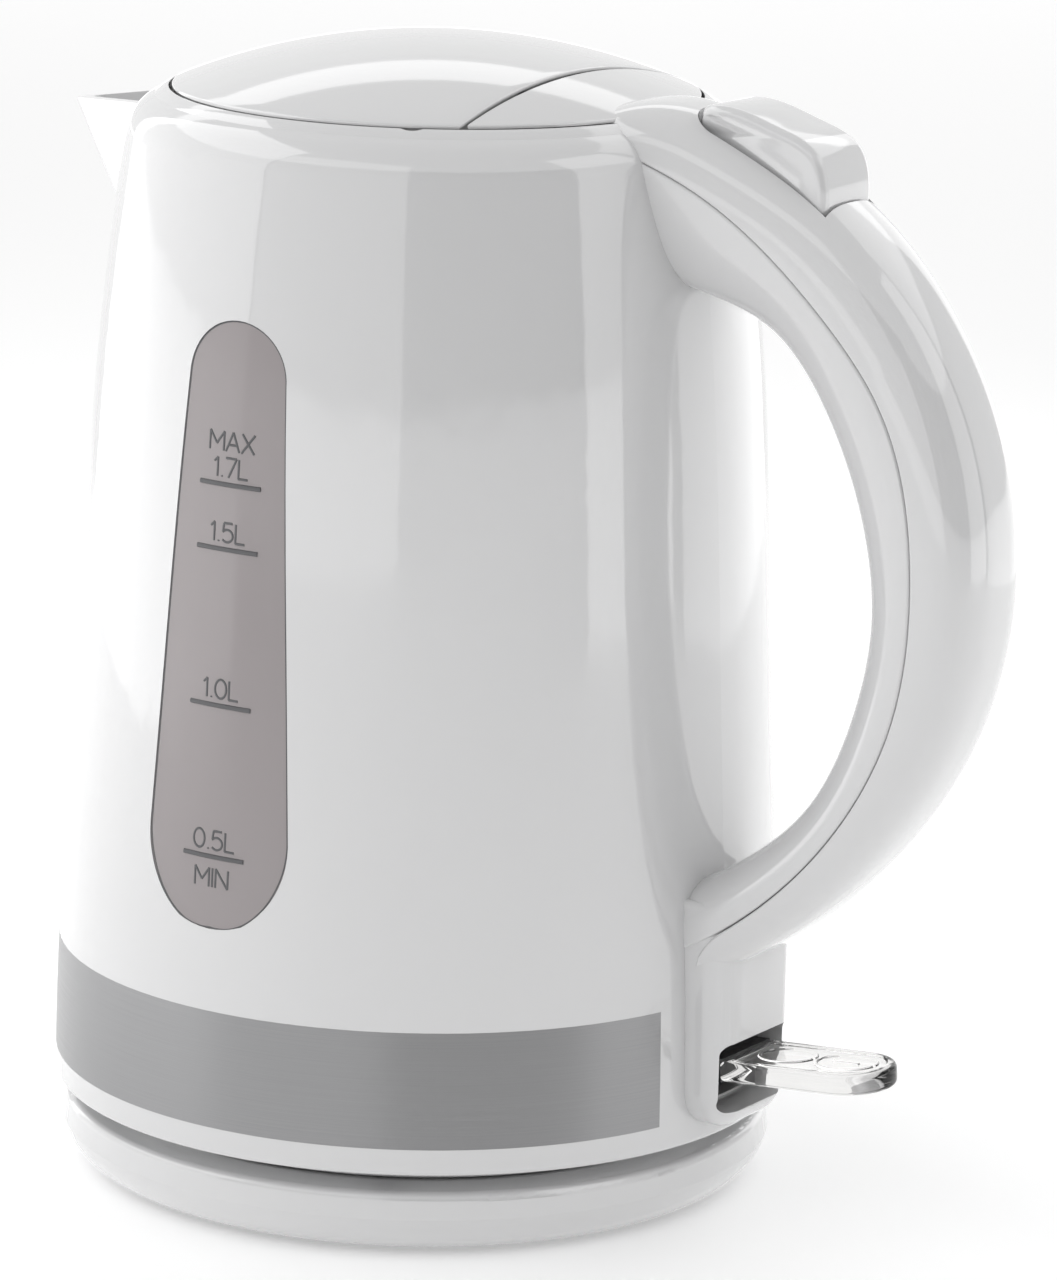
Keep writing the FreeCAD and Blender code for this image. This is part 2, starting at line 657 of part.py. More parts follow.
def lid_inner():
    """Tray under the lid with the two hinge knuckles."""
    tray = cylinder(53.0, 223.6, 250.0).cut(cylinder(51.2, 225.4, 250.0))
    tray = tray.common(dome(SHELL)).cut(box(20.0, 80, -80, 80, 200, 260))
    tray = tray.fuse(box(18.2, 20.0, -47, 47, 224.0, 250.0).common(dome(SHELL))
                     .common(cylinder(52.0, 223.6, 250)))
    for y0, y1 in ((-15.0, -10.0), (10.0, 15.0)):
        arm = box(19.0, HINGE_X, y0, y1, HINGE_Z - 3.3, HINGE_Z + 3.3)
        knuckle = rod_y(3.3, y0, y1, HINGE_X, HINGE_Z)
        tray = tray.fuse(arm.fuse(knuckle))
    return tray.cut(rod_y(PIN_R + PIN_FIT, -30, 30, HINGE_X, HINGE_Z))


def lid_seal():
    seal = ring(53.0, 55.5, 224.2, 227.0)
    return seal.cut(box(17.5, 80, -80, 80, 200, 260))


def hinge_bracket():
    """Fixed shelf under the rear cover, with the two ears that hold the hinge pin."""
    shelf = cylinder(55.6, 214.6, 217.0).common(box(30, 60, -60, 60, 200, 230))
    shelf = shelf.common(JUG_OUT).cut(box(40, 60, -30, 30, 200, 217.5))
    shelf = shelf.fuse(box(38, 40.2, -30.5, 30.5, 214.6, 224.0))
    for side in (-1, 1):
        ear = poly([xz(22.8, HINGE_Z), xz(22.8, 219), xz(29, 214.6), xz(40, 214.6),
                    xz(40, 217.2), xz(32.6, 217.2), xz(29.2, 220.5), xz(29.2, HINGE_Z)])
        ear.translate(V(0, side * 18.0 - 1.8, 0))
        ear = ear.extrude(V(0, 3.6, 0))
        ear = ear.fuse(rod_y(3.2, side * 18.0 - 1.8, side * 18.0 + 1.8, HINGE_X, HINGE_Z))
        shelf = shelf.fuse(ear)
    return shelf.cut(rod_y(PIN_R, -30, 30, HINGE_X, HINGE_Z))


def lid_hinge_pin():
    return rod_y(PIN_R, -19.8, 19.8, HINGE_X, HINGE_Z)


# ---------------------------------------------------------------- handle
def button_profile():
    """Side view of the thumb button."""
    top = spline([xz(67.2, 231.5), xz(69.4, 235.0), xz(76.0, 236.2), xz(88.0, 233.2),
                  xz(98.0, 228.2), xz(100.0, 223.5), xz(99.6, 217.6)]).toShape()
    return face(top, line(xz(99.6, 217.6), xz(96.4, 216.6)),
                line(xz(96.4, 216.6), xz(74.0, 227.2)),
                line(xz(74.0, 227.2), xz(67.2, 229.6)),
                line(xz(67.2, 229.6), xz(67.2, 231.5)))


def release_button():
    button = prism_y(button_profile(), BUTTON_HALF)
    bx, bz = BUTTON_PIVOT
    lug = rod_y(2.8, -BUTTON_HALF, BUTTON_HALF, bx, bz)
    tip_x, tip_z = BUTTON_TIP
    leg = box(tip_x - 1.2, tip_x + 1.2, RAMP_Y0, RAMP_Y1, tip_z, tip_z + 6.0)
    leg = leg.fuse(rod_y(1.2, RAMP_Y0, RAMP_Y1, tip_x, tip_z))
    button = button.fuse(lug).fuse(leg)
    return button.cut(rod_y(PIN_R - 0.25 + PIN_FIT, -20, 20, bx, bz))


def button_pin():
    bx, bz = BUTTON_PIVOT
    return rod_y(PIN_R - 0.25, -12.2, 12.2, bx, bz)


def button_opening():
    """Hole in the outer shell that the button works in."""
    area = poly([xz(66.4, 222), xz(101.4, 206), xz(101.4, 245), xz(66.4, 245)])
    return prism_y(area, BUTTON_HALF + 0.5)


def handle_outer_shell():
    """Rear lid cover and the outer half of the handle, one moulding."""
    cap = cylinder(LID_R, RING_Z - 2.6, 250.0).common(dome())
    cap = cap.common(box(LID_SPLIT_X, 70, -80, 80, 200, 260))
    cap_hollow = cylinder(LID_R - 2.2, 220.0, 250.0).common(dome(SHELL))
    bar = HANDLE_SOLID.common(OUTER_REGION)
    outside = bar.cut(JUG_OUT).cut(cylinder(57.0, 150.0, RING_Z))
    shell = outside.fuse(cap)
    inner_cut = HANDLE_HOLLOW.fuse(cap_hollow)
    shell = shell.cut(inner_cut)
    for side in (-1, 1):
        cheek = box(69.5, 77.5, side * 11.3 - 1.2, side * 11.3 + 1.2, 224.6, 234.0)
        shell = shell.fuse(cheek.common(HANDLE_SOLID.common(OUTER_REGION)).cut(JUG_OUT))
    shell = shell.cut(button_opening()).cut(LID_SWEEP).cut(panel_block(SHELL))
    return shell.cut(button_pin())


def handle_inner_shell():
    """Grip half of the handle with the switch panel at its foot."""
    bar = HANDLE_SOLID.cut(OUTER_REGION)
    block = panel_block(0.0).cut(HANDLE_SOLID.common(OUTER_REGION))
    shell = bar.fuse(block)
    hollow = HANDLE_HOLLOW.cut(OUTER_REGION).fuse(panel_block(SHELL))
    hollow = hollow.cut(jug_flange_space()).fuse(box(60, 67.6, -4.6, 4.6, 219.3, 224))
    shell = shell.cut(hollow).cut(JUG_OUT).cut(cylinder(57.0, 150.0, 260.0))
    sx, sy, foot, _ = SPRING_SEAT
    shell = shell.fuse(cylinder(4.0, 190.0, foot, sx, sy).common(HANDLE_SOLID))
    lip = box(78.5, PANEL_X - 1.0, -SLOT_HALF, SLOT_HALF, SLOT_Z0 - 2.0, SLOT_Z0)
    shell = shell.fuse(lip.common(panel_block(0.5)).cut(JUG_OUT))
    slot = box(76, 92, -SLOT_HALF, SLOT_HALF, SLOT_Z0, SLOT_Z1)
    slot_edges = [e for e in slot.Edges if e.BoundBox.XLength > 10]
    shell = shell.cut(slot.makeFillet(2.4, slot_edges))
    for side in (-1, 1):
        cheek = box(78.0, 83.5, side * 11.6 - 0.9, side * 11.6 + 0.9, SLOT_Z0 - 1, SLOT_Z1 + 1)
        shell = shell.fuse(cheek.cut(JUG_OUT))
    px, pz = LEVER_PIVOT
    shell = shell.cut(rod_y(1.25, -12.4, 12.4, px, pz))
    for y, z in FLANGE_SCREWS + PANEL_SCREWS:
        shell = shell.cut(rod_x(1.4, 60.0, 83.0, y, z))
    return shell.cut(rod_x(2.3, 50.0, 80.0, *STEAM_PORT))


def jug_flange_space():
    """Skin that follows the jug's wall: what the grip half is screwed down with."""
    side = spline([xz(r + 2.2, z) for r, z in JUG_PROFILE]).toShape()
    top = xz(JUG_PROFILE[-1][0] + 2.2, SHOULDER_Z)
    bottom = xz(JUG_PROFILE[0][0] + 2.2, JUG_BOTTOM)
    return turn(face(side, line(top, xz(0, SHOULDER_Z)), line(xz(0, SHOULDER_Z), xz(0, JUG_BOTTOM)),
                     line(xz(0, JUG_BOTTOM), bottom)))


def button_spring():
    sx, sy, z0, z1 = SPRING_SEAT
    return helix_spring(2.8, 0.4, 5, z0 + 0.1, z1, sx, sy)


def latch_slider():
    """Bolt that the button's leg draws back; its nose faces the lid's rear edge."""
    tip_x, tip_z = BUTTON_TIP
    rise = math.tan(math.radians(RAMP_ANGLE))
    contact = tip_z - (1.2 + RAMP_GAP) / math.cos(math.radians(RAMP_ANGLE))
    nose = prism_y(poly([xz(40.4, 227.6), xz(44.0, 226.9), xz(44.0, 228.4), xz(40.4, 228.4)]), 4.0)
    bar = box(44.0, 65.6, -4.0, 4.0, 226.9, 228.4)
    post = box(66.2, 68.6, -4.0, 4.0, 219.8, 224.4).fuse(box(65.6, 67.0, -4.0, 4.0, 219.8, 228.4))
    ramp = poly([xz(67.0, 222.8), xz(67.0, 219.8), xz(tip_x - 4.0, contact - 4.0 * rise - 2.2),
                 xz(tip_x + 4.6, contact - 2.6), xz(tip_x + 4.6, contact + 4.6 * rise),
                 xz(tip_x - 4.0, contact - 4.0 * rise)])
    ramp.translate(V(0, RAMP_Y0, 0))
    ramp = ramp.extrude(V(0, RAMP_Y1 - RAMP_Y0, 0))
    return nose.fuse(bar).fuse(post).fuse(ramp)


def steam_tube():
    y = STEAM_PORT[0]
    route = [(58.0, 217.0), (76.0, 217.0), (98.0, 203.0), (117.0, 180.0), (125.4, 146.0),
             (118.0, 112.0), (99.0, 85.0), (82.3, 69.0), (81.8, 50.0)]
    return tube([V(x, y, z) for x, z in route], 2.1, 1.4)


def indicator_lamp():
    return cylinder(1.9, 44.6, 49.0, 81.8, -5.0).fuse(cylinder(1.2, 49.0, 52.0, 81.8, -5.0))


# ---------------------------------------------------------------- switch
def tilt_lever(shape):
    px, pz = LEVER_PIVOT
    shape.rotate(V(px, 0, pz), V(0, 1, 0), -LEVER_TILT)
    return shape


def switch_lever():
    """Clear tongue with a round end, clipped into the rocker."""
    z0 = LEVER_PIVOT[1] - LEVER_T / 2 + 0.6
    tip = LEVER_TIP_X
    outline = [line(V(83.0, -LEVER_HALF, z0), V(tip - 10, -LEVER_HALF, z0)),
               arc(V(tip - 10, -LEVER_HALF, z0), V(tip, 0, z0), V(tip - 10, LEVER_HALF, z0)),
               line(V(tip - 10, LEVER_HALF, z0), V(83.0, LEVER_HALF, z0)),
               line(V(83.0, LEVER_HALF, z0), V(83.0, -LEVER_HALF, z0))]
    tongue = Part.Face(Part.Wire(outline)).extrude(V(0, 0, LEVER_T))
    edges = [e for e in tongue.Edges if abs(e.BoundBox.ZLength) < 0.01 and e.BoundBox.XMax > 84]
    return tilt_lever(tongue.makeFillet(1.3, edges))


def switch_rocker():
    """Dark hub on the lever pin, with the tail that trips the contacts."""
    px, pz = LEVER_PIVOT
    hub = rod_y(3.3, -LEVER_HALF, LEVER_HALF, px, pz)
    arm = box(px, 83.0, -LEVER_HALF, LEVER_HALF, pz - 1.8, pz + 3.0)
    tail = box(68.5, px, -4.0, 4.0, pz - 1.6, pz + 1.6)
    rocker = hub.fuse(arm).fuse(tail).cut(rod_y(1.25 + PIN_FIT, -20, 20, px, pz))
    return tilt_lever(rocker)


def lever_pin():
    px, pz = LEVER_PIVOT
    return rod_y(1.25, -12.4, 12.4, px, pz)


def handle_screws():
    return Part.makeCompound([screw_x(54.4, y, z, 13.0) for y, z in FLANGE_SCREWS])


def panel_screws():
    return Part.makeCompound([screw_x(71.6, y, z, 11.0) for y, z in PANEL_SCREWS])


NODES = {
    "base_top_shell": base_top_shell,
    "base_bottom_cover": base_bottom_cover,
    "base_feet": base_feet,
    "base_screws": base_screws,
    "base_connector": base_connector,
    "base_contacts": base_contacts,
    "cord_bush": cord_bush,
    "core_spring": core_spring,
    "connector_core": connector_core,
    "jug_body": jug_body,
    "trim_band": trim_band_solid,
    "water_window_near": water_window,
    "water_window_far": lambda: mirrored(water_window()),
    "heating_plate": heating_plate,
    "plate_seal": plate_seal,
    "plate_clamp": plate_clamp,
    "heating_element": heating_element,
    "control_housing": control_housing,
    "bimetal_discs": bimetal_discs,
    "steam_bimetal": steam_bimetal,
    "jug_connector": jug_connector,
    "connector_rings": connector_rings,
    "lead_wires": lead_wires,
    "bottom_cover": bottom_cover,
    "bottom_screws": bottom_screws,
    "spout_filter_frame": spout_filter_frame,
    "spout_filter_mesh": spout_filter_mesh,
    "lid_outer": lid_outer,
    "lid_inner": lid_inner,
    "lid_seal": lid_seal,
    "hinge_bracket": hinge_bracket,
    "lid_hinge_pin": lid_hinge_pin,
    "handle_outer_shell": handle_outer_shell,
    "handle_inner_shell": handle_inner_shell,
    "handle_screws": handle_screws,
    "panel_screws": panel_screws,
    "release_button": release_button,
    "button_pin": button_pin,
    "button_spring": button_spring,
    "latch_slider": latch_slider,
    "steam_tube": steam_tube,
    "indicator_lamp": indicator_lamp,
    "switch_lever": switch_lever,
    "switch_rocker": switch_rocker,
    "lever_pin": lever_pin,
}

os.makedirs("parts", exist_ok=True)
for name, make in NODES.items():
    shape = solids(make())
    print(name, shape.isValid(), len(shape.Solids), round(shape.Volume))
    shape.exportStep("parts/" + name + ".step")
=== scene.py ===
"""Looks for the cordless kettle: materials, detail pieces, floor, lights and camera round the CAD frame."""
import json
import math

import bmesh
import bpy
import numpy as np
from mathutils import Matrix, Vector


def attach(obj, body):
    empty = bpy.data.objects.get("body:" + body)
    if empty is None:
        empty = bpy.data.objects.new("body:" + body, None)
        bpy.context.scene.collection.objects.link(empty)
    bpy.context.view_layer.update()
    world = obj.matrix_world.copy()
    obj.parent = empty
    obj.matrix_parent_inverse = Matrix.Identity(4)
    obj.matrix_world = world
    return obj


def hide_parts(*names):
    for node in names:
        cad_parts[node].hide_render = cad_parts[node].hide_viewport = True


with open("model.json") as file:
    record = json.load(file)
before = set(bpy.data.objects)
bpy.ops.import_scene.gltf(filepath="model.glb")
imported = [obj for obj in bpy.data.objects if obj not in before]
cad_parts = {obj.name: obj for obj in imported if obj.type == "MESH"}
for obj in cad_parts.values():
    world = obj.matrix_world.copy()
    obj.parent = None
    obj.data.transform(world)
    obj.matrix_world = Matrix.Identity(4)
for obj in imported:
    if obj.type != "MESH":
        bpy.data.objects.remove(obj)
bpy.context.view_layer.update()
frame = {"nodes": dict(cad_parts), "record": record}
nodes = frame["nodes"]
MM = 0.001

# ---------------------------------------------------------------- dimensions in mm, mostly the CAD's
JUG_PROFILE = [(78.0, 19.0), (76.9, 61.0), (74.7, 101.0), (69.7, 181.8), (64.5, 222.0)]
RING_Z, DOME_TOP = 231.2, 243.0
LID_R, LID_SPLIT_X, LID_GAP = 55.2, 35.0, 0.6
LID_HINGE = (26.0, 229.5)
COVER_FOOT = 228.6
SWING_HALF, SWING_EXTRA = 43.2, 0.3
HINGE_HOLLOW = (19.0, 35.4, -21.0, 21.0, 227.0, 236.2)
RIM_Z, RIM_UNDERCUT, RIM_LIP = 231.9, 0.9, 0.15
BALL_R = (LID_R ** 2 + (DOME_TOP - RIM_Z) ** 2) / (2 * (DOME_TOP - RIM_Z))
PANEL_HALF, PANEL_X, PANEL_Z0, PANEL_Z1 = 13.7, 86.5, 22.5, 72.0
PANEL_CORNER, PANEL_FRONT_R = 8.5, 6.0
SLOT_Z0, SLOT_Z1, SLOT_HALF = 27.0, 42.0, 12.5
BUTTON_HALF, BUTTON_EDGE, BUTTON_FRONT, BUTTON_NOSE = 9.4, 1.9, 67.2, 7.5
# hollows round hidden parts: x, y, radius; x, z, radius, half length; and boxes x0, x1, y0, y1, z0, z1
BUTTON_SPRING = (90.5, -5.5, 4.6)
BUTTON_PIN = (73.5, 228.0, 1.4, 12.0)
LATCH_WELLS = [(87.0, 98.4, -1.6, 4.3, 205.0, 218.6), (98.0, 101.0, -1.6, 4.3, 205.0, 217.2)]
LATCH_CHANNEL = [(39.0, 71.4, -4.5, 4.5, 219.2, 228.9), (66.0, 99.4, -1.5, 4.2, 207.8, 224.0)]
POCKET_REAR, POCKET_SIDE_GAP, POCKET_FRONT_GAP = 100.9, 0.5, 0.8
POCKET_FRONT_Z, POCKET_REAR_Z, POCKET_TOP = 222, 206, 245
WINDOW_INSET = 0.25
LEVER_PIVOT, LEVER_TIP_X, LEVER_HALF, LEVER_T = (78.6, 34.6), 118.0, 10.0, 4.8
LEVER_TILT, LEVER_EDGE = 4.6, 1.3

# ---------------------------------------------------------------- camera, as the photograph was taken
CAM_AZ, CAM_EL, CAM_ROLL = (math.radians(a) for a in (33.3, 13.34, 1.4))
CAM_DISTANCE = 1.302
CAM_LENS = 172.0
TARGET_RIGHT, TARGET_Z = 0.0219, 0.1137


def place_camera():
    right = Vector((math.cos(CAM_AZ), math.sin(CAM_AZ), 0))
    back = Vector((math.sin(CAM_AZ) * math.cos(CAM_EL),
                   -math.cos(CAM_AZ) * math.cos(CAM_EL), math.sin(CAM_EL)))
    up = back.cross(right)
    target = right * TARGET_RIGHT + Vector((0, 0, TARGET_Z))
    x_axis = right * math.cos(CAM_ROLL) + up * math.sin(CAM_ROLL)
    y_axis = up * math.cos(CAM_ROLL) - right * math.sin(CAM_ROLL)
    data = bpy.data.cameras.new("camera")
    data.sensor_fit = "AUTO"
    data.sensor_width = 36.0
    data.lens = CAM_LENS
    data.clip_start = 0.05
    camera = bpy.data.objects.new("camera", data)
    bpy.context.scene.collection.objects.link(camera)
    turn = Matrix((x_axis, y_axis, back)).transposed().to_4x4()
    camera.matrix_world = Matrix.Translation(target + back * CAM_DISTANCE) @ turn
    bpy.context.scene.camera = camera


# ---------------------------------------------------------------- light and floor
def panel(name, azimuth, distance, width, height, z, radiance, tint=(1, 1, 1)):
    """Soft panel that faces the kettle; azimuth is measured from the camera, to the right."""
    angle = CAM_AZ + math.radians(azimuth)
    where = Vector((math.sin(angle), -math.cos(angle), 0)) * distance + Vector((0, 0, z))
    data = bpy.data.lights.new(name, "AREA")
    data.shape = "RECTANGLE"
    data.size = width
    data.size_y = height
    data.energy = radiance * math.pi * width * height
    data.color = tint
    light = bpy.data.objects.new(name, data)
    aim = Vector((0, 0, z)) - where
    light.matrix_world = Matrix.Translation(where) @ aim.to_track_quat("-Z", "Y").to_matrix().to_4x4()
    light.visible_camera = False
    bpy.context.scene.collection.objects.link(light)
    return light


def overhead(name, size, z, radiance):
    data = bpy.data.lights.new(name, "AREA")
    data.shape = "DISK"
    data.size = size
    data.energy = radiance * math.pi * math.pi * size * size / 4
    light = bpy.data.objects.new(name, data)
    light.location = (0, 0, z)
    light.visible_camera = False
    bpy.context.scene.collection.objects.link(light)
    return light


def place_lights():
    world = bpy.data.worlds.new("studio")
    world.use_nodes = True
    background = world.node_tree.nodes["Background"]
    background.inputs["Color"].default_value = (1, 1, 1, 1)
    background.inputs["Strength"].default_value = 0.15
    bpy.context.scene.world = world
    panel("left_softbox", -103, 0.62, 1.08, 1.2, 0.58, 1.12)
    panel("front_left_fill", -35.5, 1.25, 1.26, 1.5, 0.72, 0.58)
    panel("right_softbox", 70, 0.9, 0.54, 1.3, 0.62, 0.85)
    panel("rear_right_softbox", 122, 0.7, 0.85, 1.3, 0.62, 0.62)
    panel("rear_backdrop", 180, 2.8, 5.0, 2.4, 1.22, 0.75)
    overhead("top_softbox", 14.0, 4.0, 0.6)
    view = bpy.context.scene.view_settings
    view.view_transform = "Standard"
    view.look = "None"


def place_floor():
    half = 6.0
    mesh = bpy.data.meshes.new("floor")
    corners = [(-half, -half, 0), (half, -half, 0), (half, half, 0), (-half, half, 0)]
    mesh.from_pydata(corners, [], [(0, 1, 2, 3)])
    floor = bpy.data.objects.new("floor", mesh)
    bpy.context.scene.collection.objects.link(floor)
    mat = new_material("pale_floor")
    shader = mat.node_tree.nodes["Principled BSDF"]
    shader.inputs["Base Color"].default_value = (0.9, 0.9, 0.9, 1)
    shader.inputs["Roughness"].default_value = 0.8
    shader.inputs["Emission Color"].default_value = (1, 1, 1, 1)
    shader.inputs["Emission Strength"].default_value = 0.22
    mesh.materials.append(mat)


# ---------------------------------------------------------------- materials
def new_material(name):
    mat = bpy.data.materials.new(name)
    mat.use_nodes = True
    return mat


class Nodes:
    """Short way to add and join shader nodes."""

    def __init__(self, mat):
        self.tree = mat.node_tree
        self.shader = self.tree.nodes["Principled BSDF"]

    def add(self, kind, **values):
        node = self.tree.nodes.new(kind)
        for key, value in values.items():
            if key in node.inputs:
                node.inputs[key].default_value = value
            else:
                setattr(node, key, value)
        return node

    def link(self, a, b):
        self.tree.links.new(a, b)

    def noise(self, scale, detail=3.0, stretch=(1, 1, 1)):
        coords = self.add("ShaderNodeTexCoord")
        mapping = self.add("ShaderNodeMapping")
        mapping.inputs["Scale"].default_value = stretch
        noise = self.add("ShaderNodeTexNoise")
        noise.inputs["Scale"].default_value = scale
        noise.inputs["Detail"].default_value = detail
        self.link(coords.outputs["Object"], mapping.inputs["Vector"])
        self.link(mapping.outputs["Vector"], noise.inputs["Vector"])
        return noise.outputs["Fac"]

    def ramp(self, fac, low, high, start=0.3, end=0.7):
        node = self.add("ShaderNodeMapRange")
        node.inputs["From Min"].default_value = start
        node.inputs["From Max"].default_value = end
        node.inputs["To Min"].default_value = low
        node.inputs["To Max"].default_value = high
        self.link(fac, node.inputs["Value"])
        return node.outputs["Result"]

    def tone(self, fac, dark, light):
        node = self.add("ShaderNodeMix", data_type="RGBA")
        node.inputs[6].default_value = (*dark, 1)
        node.inputs[7].default_value = (*light, 1)
        self.link(fac, node.inputs[0])
        self.link(node.outputs[2], self.shader.inputs["Base Color"])

    def bump(self, height, distance, strength=1.0):
        node = self.add("ShaderNodeBump")
        node.inputs["Strength"].default_value = strength
        node.inputs["Distance"].default_value = distance
        self.link(height, node.inputs["Height"])
        self.link(node.outputs["Normal"], self.shader.inputs["Normal"])


def plastic(name, dark, light, rough, waviness, coat=0.0, specular=0.5, spots=900):
    """Moulded plastic: faint flow tone, uneven polish, and a very slight waviness of the surface."""
    mat = new_material(name)
    n = Nodes(mat)
    n.tone(n.noise(14, 2), dark, light)
    n.link(n.ramp(n.noise(spots, 4), rough[0], rough[1]), n.shader.inputs["Roughness"])
    n.bump(n.noise(60, 2), waviness)
    n.shader.inputs["Coat Weight"].default_value = coat
    n.shader.inputs["Coat Roughness"].default_value = 0.05
    n.shader.inputs["Specular IOR Level"].default_value = specular
    return mat


METALS = [("stainless", (0.6, 0.6, 0.61), 0.28), ("spring_steel", (0.55, 0.55, 0.56), 0.2),
          ("screw_steel", (0.5, 0.5, 0.52), 0.32), ("contact_brass", (0.72, 0.5, 0.2), 0.25)]


def make_materials():
    made = {}
    made["white_gloss"] = plastic("white_gloss_plastic", (0.655, 0.655, 0.66), (0.675, 0.675, 0.68),
                                  (0.05, 0.09), 0.00001, 1.0, 1.0)
    made["white_satin"] = plastic("white_satin_plastic", (0.74, 0.74, 0.745), (0.78, 0.78, 0.785),
                                  (0.38, 0.48), 0.00004)
    made["black_plastic"] = plastic("black_matt_plastic", (0.02, 0.02, 0.022), (0.035, 0.035, 0.037),
                                    (0.4, 0.55), 0.00006)
    made["mark_ink"] = plastic("mark_ink", (0.085, 0.085, 0.09), (0.12, 0.12, 0.125), (0.3, 0.4), 0.00001)
    made["grey_rubber"] = plastic("grey_rubber", (0.09, 0.09, 0.092), (0.13, 0.13, 0.132),
                                  (0.7, 0.85), 0.00008)
    made["seal_silicone"] = plastic("seal_silicone", (0.66, 0.66, 0.64), (0.72, 0.72, 0.7),
                                    (0.35, 0.5), 0.00005)
    for name, colour, rough in METALS:
        mat = new_material(name)
        n = Nodes(mat)
        n.shader.inputs["Metallic"].default_value = 1.0
        n.tone(n.noise(300, 3), tuple(c * 0.9 for c in colour), colour)
        n.link(n.ramp(n.noise(700, 3), rough - 0.06, rough + 0.1), n.shader.inputs["Roughness"])
        made[name] = mat
    mat = new_material("brushed_band_metal")
    n = Nodes(mat)
    n.shader.inputs["Metallic"].default_value = 1.0
    grain = n.noise(25, 4, (1, 1, 220))
    n.tone(grain, (0.29, 0.29, 0.295), (0.37, 0.37, 0.375))
    n.link(n.ramp(grain, 0.3, 0.42), n.shader.inputs["Roughness"])
    n.shader.inputs["Anisotropic"].default_value = 0.85
    n.shader.inputs["Anisotropic Rotation"].default_value = 0.25
    n.link(n.add("ShaderNodeTangent", direction_type="RADIAL", axis="Z").outputs["Tangent"],
           n.shader.inputs["Tangent"])
    n.bump(grain, 0.000015)
    made["brushed_band"] = mat
    mat = new_material("smoked_window_plastic")
    n = Nodes(mat)
    n.tone(n.noise(20, 2), (0.46, 0.42, 0.425), (0.49, 0.45, 0.455))
    n.shader.inputs["Transmission Weight"].default_value = 0.35
    n.shader.inputs["Roughness"].default_value = 0.12
    made["smoked_window"] = mat
    mat = new_material("clear_lever_plastic")
    n = Nodes(mat)
    n.shader.inputs["Base Color"].default_value = (0.99, 0.985, 0.975, 1)
    n.shader.inputs["Transmission Weight"].default_value = 1.0
    n.shader.inputs["Roughness"].default_value = 0.03
    n.shader.inputs["IOR"].default_value = 1.33
    made["clear_lever"] = mat
    mat = new_material("filter_gauze")
    n = Nodes(mat)
    n.tone(n.noise(900, 2), (0.6, 0.6, 0.59), (0.75, 0.75, 0.74))
    n.shader.inputs["Roughness"].default_value = 0.6
    made["filter_mesh"] = mat
    mat = plastic("wire_braid", (0.5, 0.47, 0.4), (0.62, 0.59, 0.52), (0.7, 0.9), 0.0001)
    made["wire_sleeve"] = mat
    mat = new_material("neon_lamp")
    n = Nodes(mat)
    n.tone(n.noise(400, 2), (0.75, 0.32, 0.2), (0.85, 0.4, 0.25))
    n.shader.inputs["Transmission Weight"].default_value = 0.5
    n.shader.inputs["Roughness"].default_value = 0.1
    made["lamp_glass"] = mat
    return made


def paint_cad(materials):
    for part in frame["record"]["subparts"]:
        mesh = nodes[part["node"]].data
        mesh.materials.clear()
        mesh.materials.append(materials[part["material_slot"]])


# ---------------------------------------------------------------- mesh tools (millimetres in, metres out)
def spline(points):
    """Cubic spline through the points by chord length; returns a function of 0..1 along its length."""
    p = np.array(points, float)
    chord = np.r_[0, np.cumsum(np.linalg.norm(np.diff(p, axis=0), axis=1))]
    h = np.diff(chord)
    n = len(p)
    a = np.zeros((n, n))
    b = np.zeros_like(p)
    for i in range(1, n - 1):
        a[i, i - 1:i + 2] = h[i], 2 * (h[i - 1] + h[i]), h[i - 1]
        b[i] = 3 * (h[i] * (p[i] - p[i - 1]) / h[i - 1] + h[i - 1] * (p[i + 1] - p[i]) / h[i])
    for row, ids in ((0, range(0, 4)), (n - 1, range(n - 4, n))):
        ids = list(ids)
        a[row, row] = 1
        fit = np.polyfit(chord[ids] - chord[row], p[ids], 3)
        b[row] = fit[-2]
    slope = np.linalg.solve(a, b)

    def at(s):
        i = np.clip(np.searchsorted(chord, s, side="right") - 1, 0, n - 2)
        t = ((s - chord[i]) / h[i])[:, None]
        k = h[i][:, None]
        return ((2 * t ** 3 - 3 * t ** 2 + 1) * p[i] + (t ** 3 - 2 * t ** 2 + t) * k * slope[i]
                + (3 * t ** 2 - 2 * t ** 3) * p[i + 1] + (t ** 3 - t ** 2) * k * slope[i + 1])

    dense = np.linspace(0, chord[-1], 1200)
    run = np.r_[0, np.cumsum(np.linalg.norm(np.diff(at(dense), axis=0), axis=1))]
    return lambda share: at(np.interp(np.atleast_1d(share) * run[-1], run, dense))


def mesh_object(name, points, faces):
    mesh = bpy.data.meshes.new(name)
    mesh.from_pydata([tuple(c * MM for c in p) for p in points], [], faces)
    mesh.validate()
    bm = bmesh.new()
    bm.from_mesh(mesh)
    bmesh.ops.remove_doubles(bm, verts=bm.verts, dist=1e-7)
    bmesh.ops.recalc_face_normals(bm, faces=bm.faces)
    bm.to_mesh(mesh)
    bm.free()
    obj = bpy.data.objects.new(name, mesh)
    bpy.context.scene.collection.objects.link(obj)
    return obj


def tube_mesh(name, rings, closed=True):
    """Skin over a list of rings with equal counts; the two ends are capped."""
    count = len(rings[0])
    points = [p for r in rings for p in r]
    faces = []
    for i in range(len(rings) - 1):
        for j in range(count):
            k = (j + 1) % count
            a, b = i * count, (i + 1) * count
            faces.append((a + j, a + k, b + k, b + j))
    if closed:
        faces.append(tuple(range(count)))
        faces.append(tuple(reversed(range((len(rings) - 1) * count, len(rings) * count))))
    return mesh_object(name, points, faces)


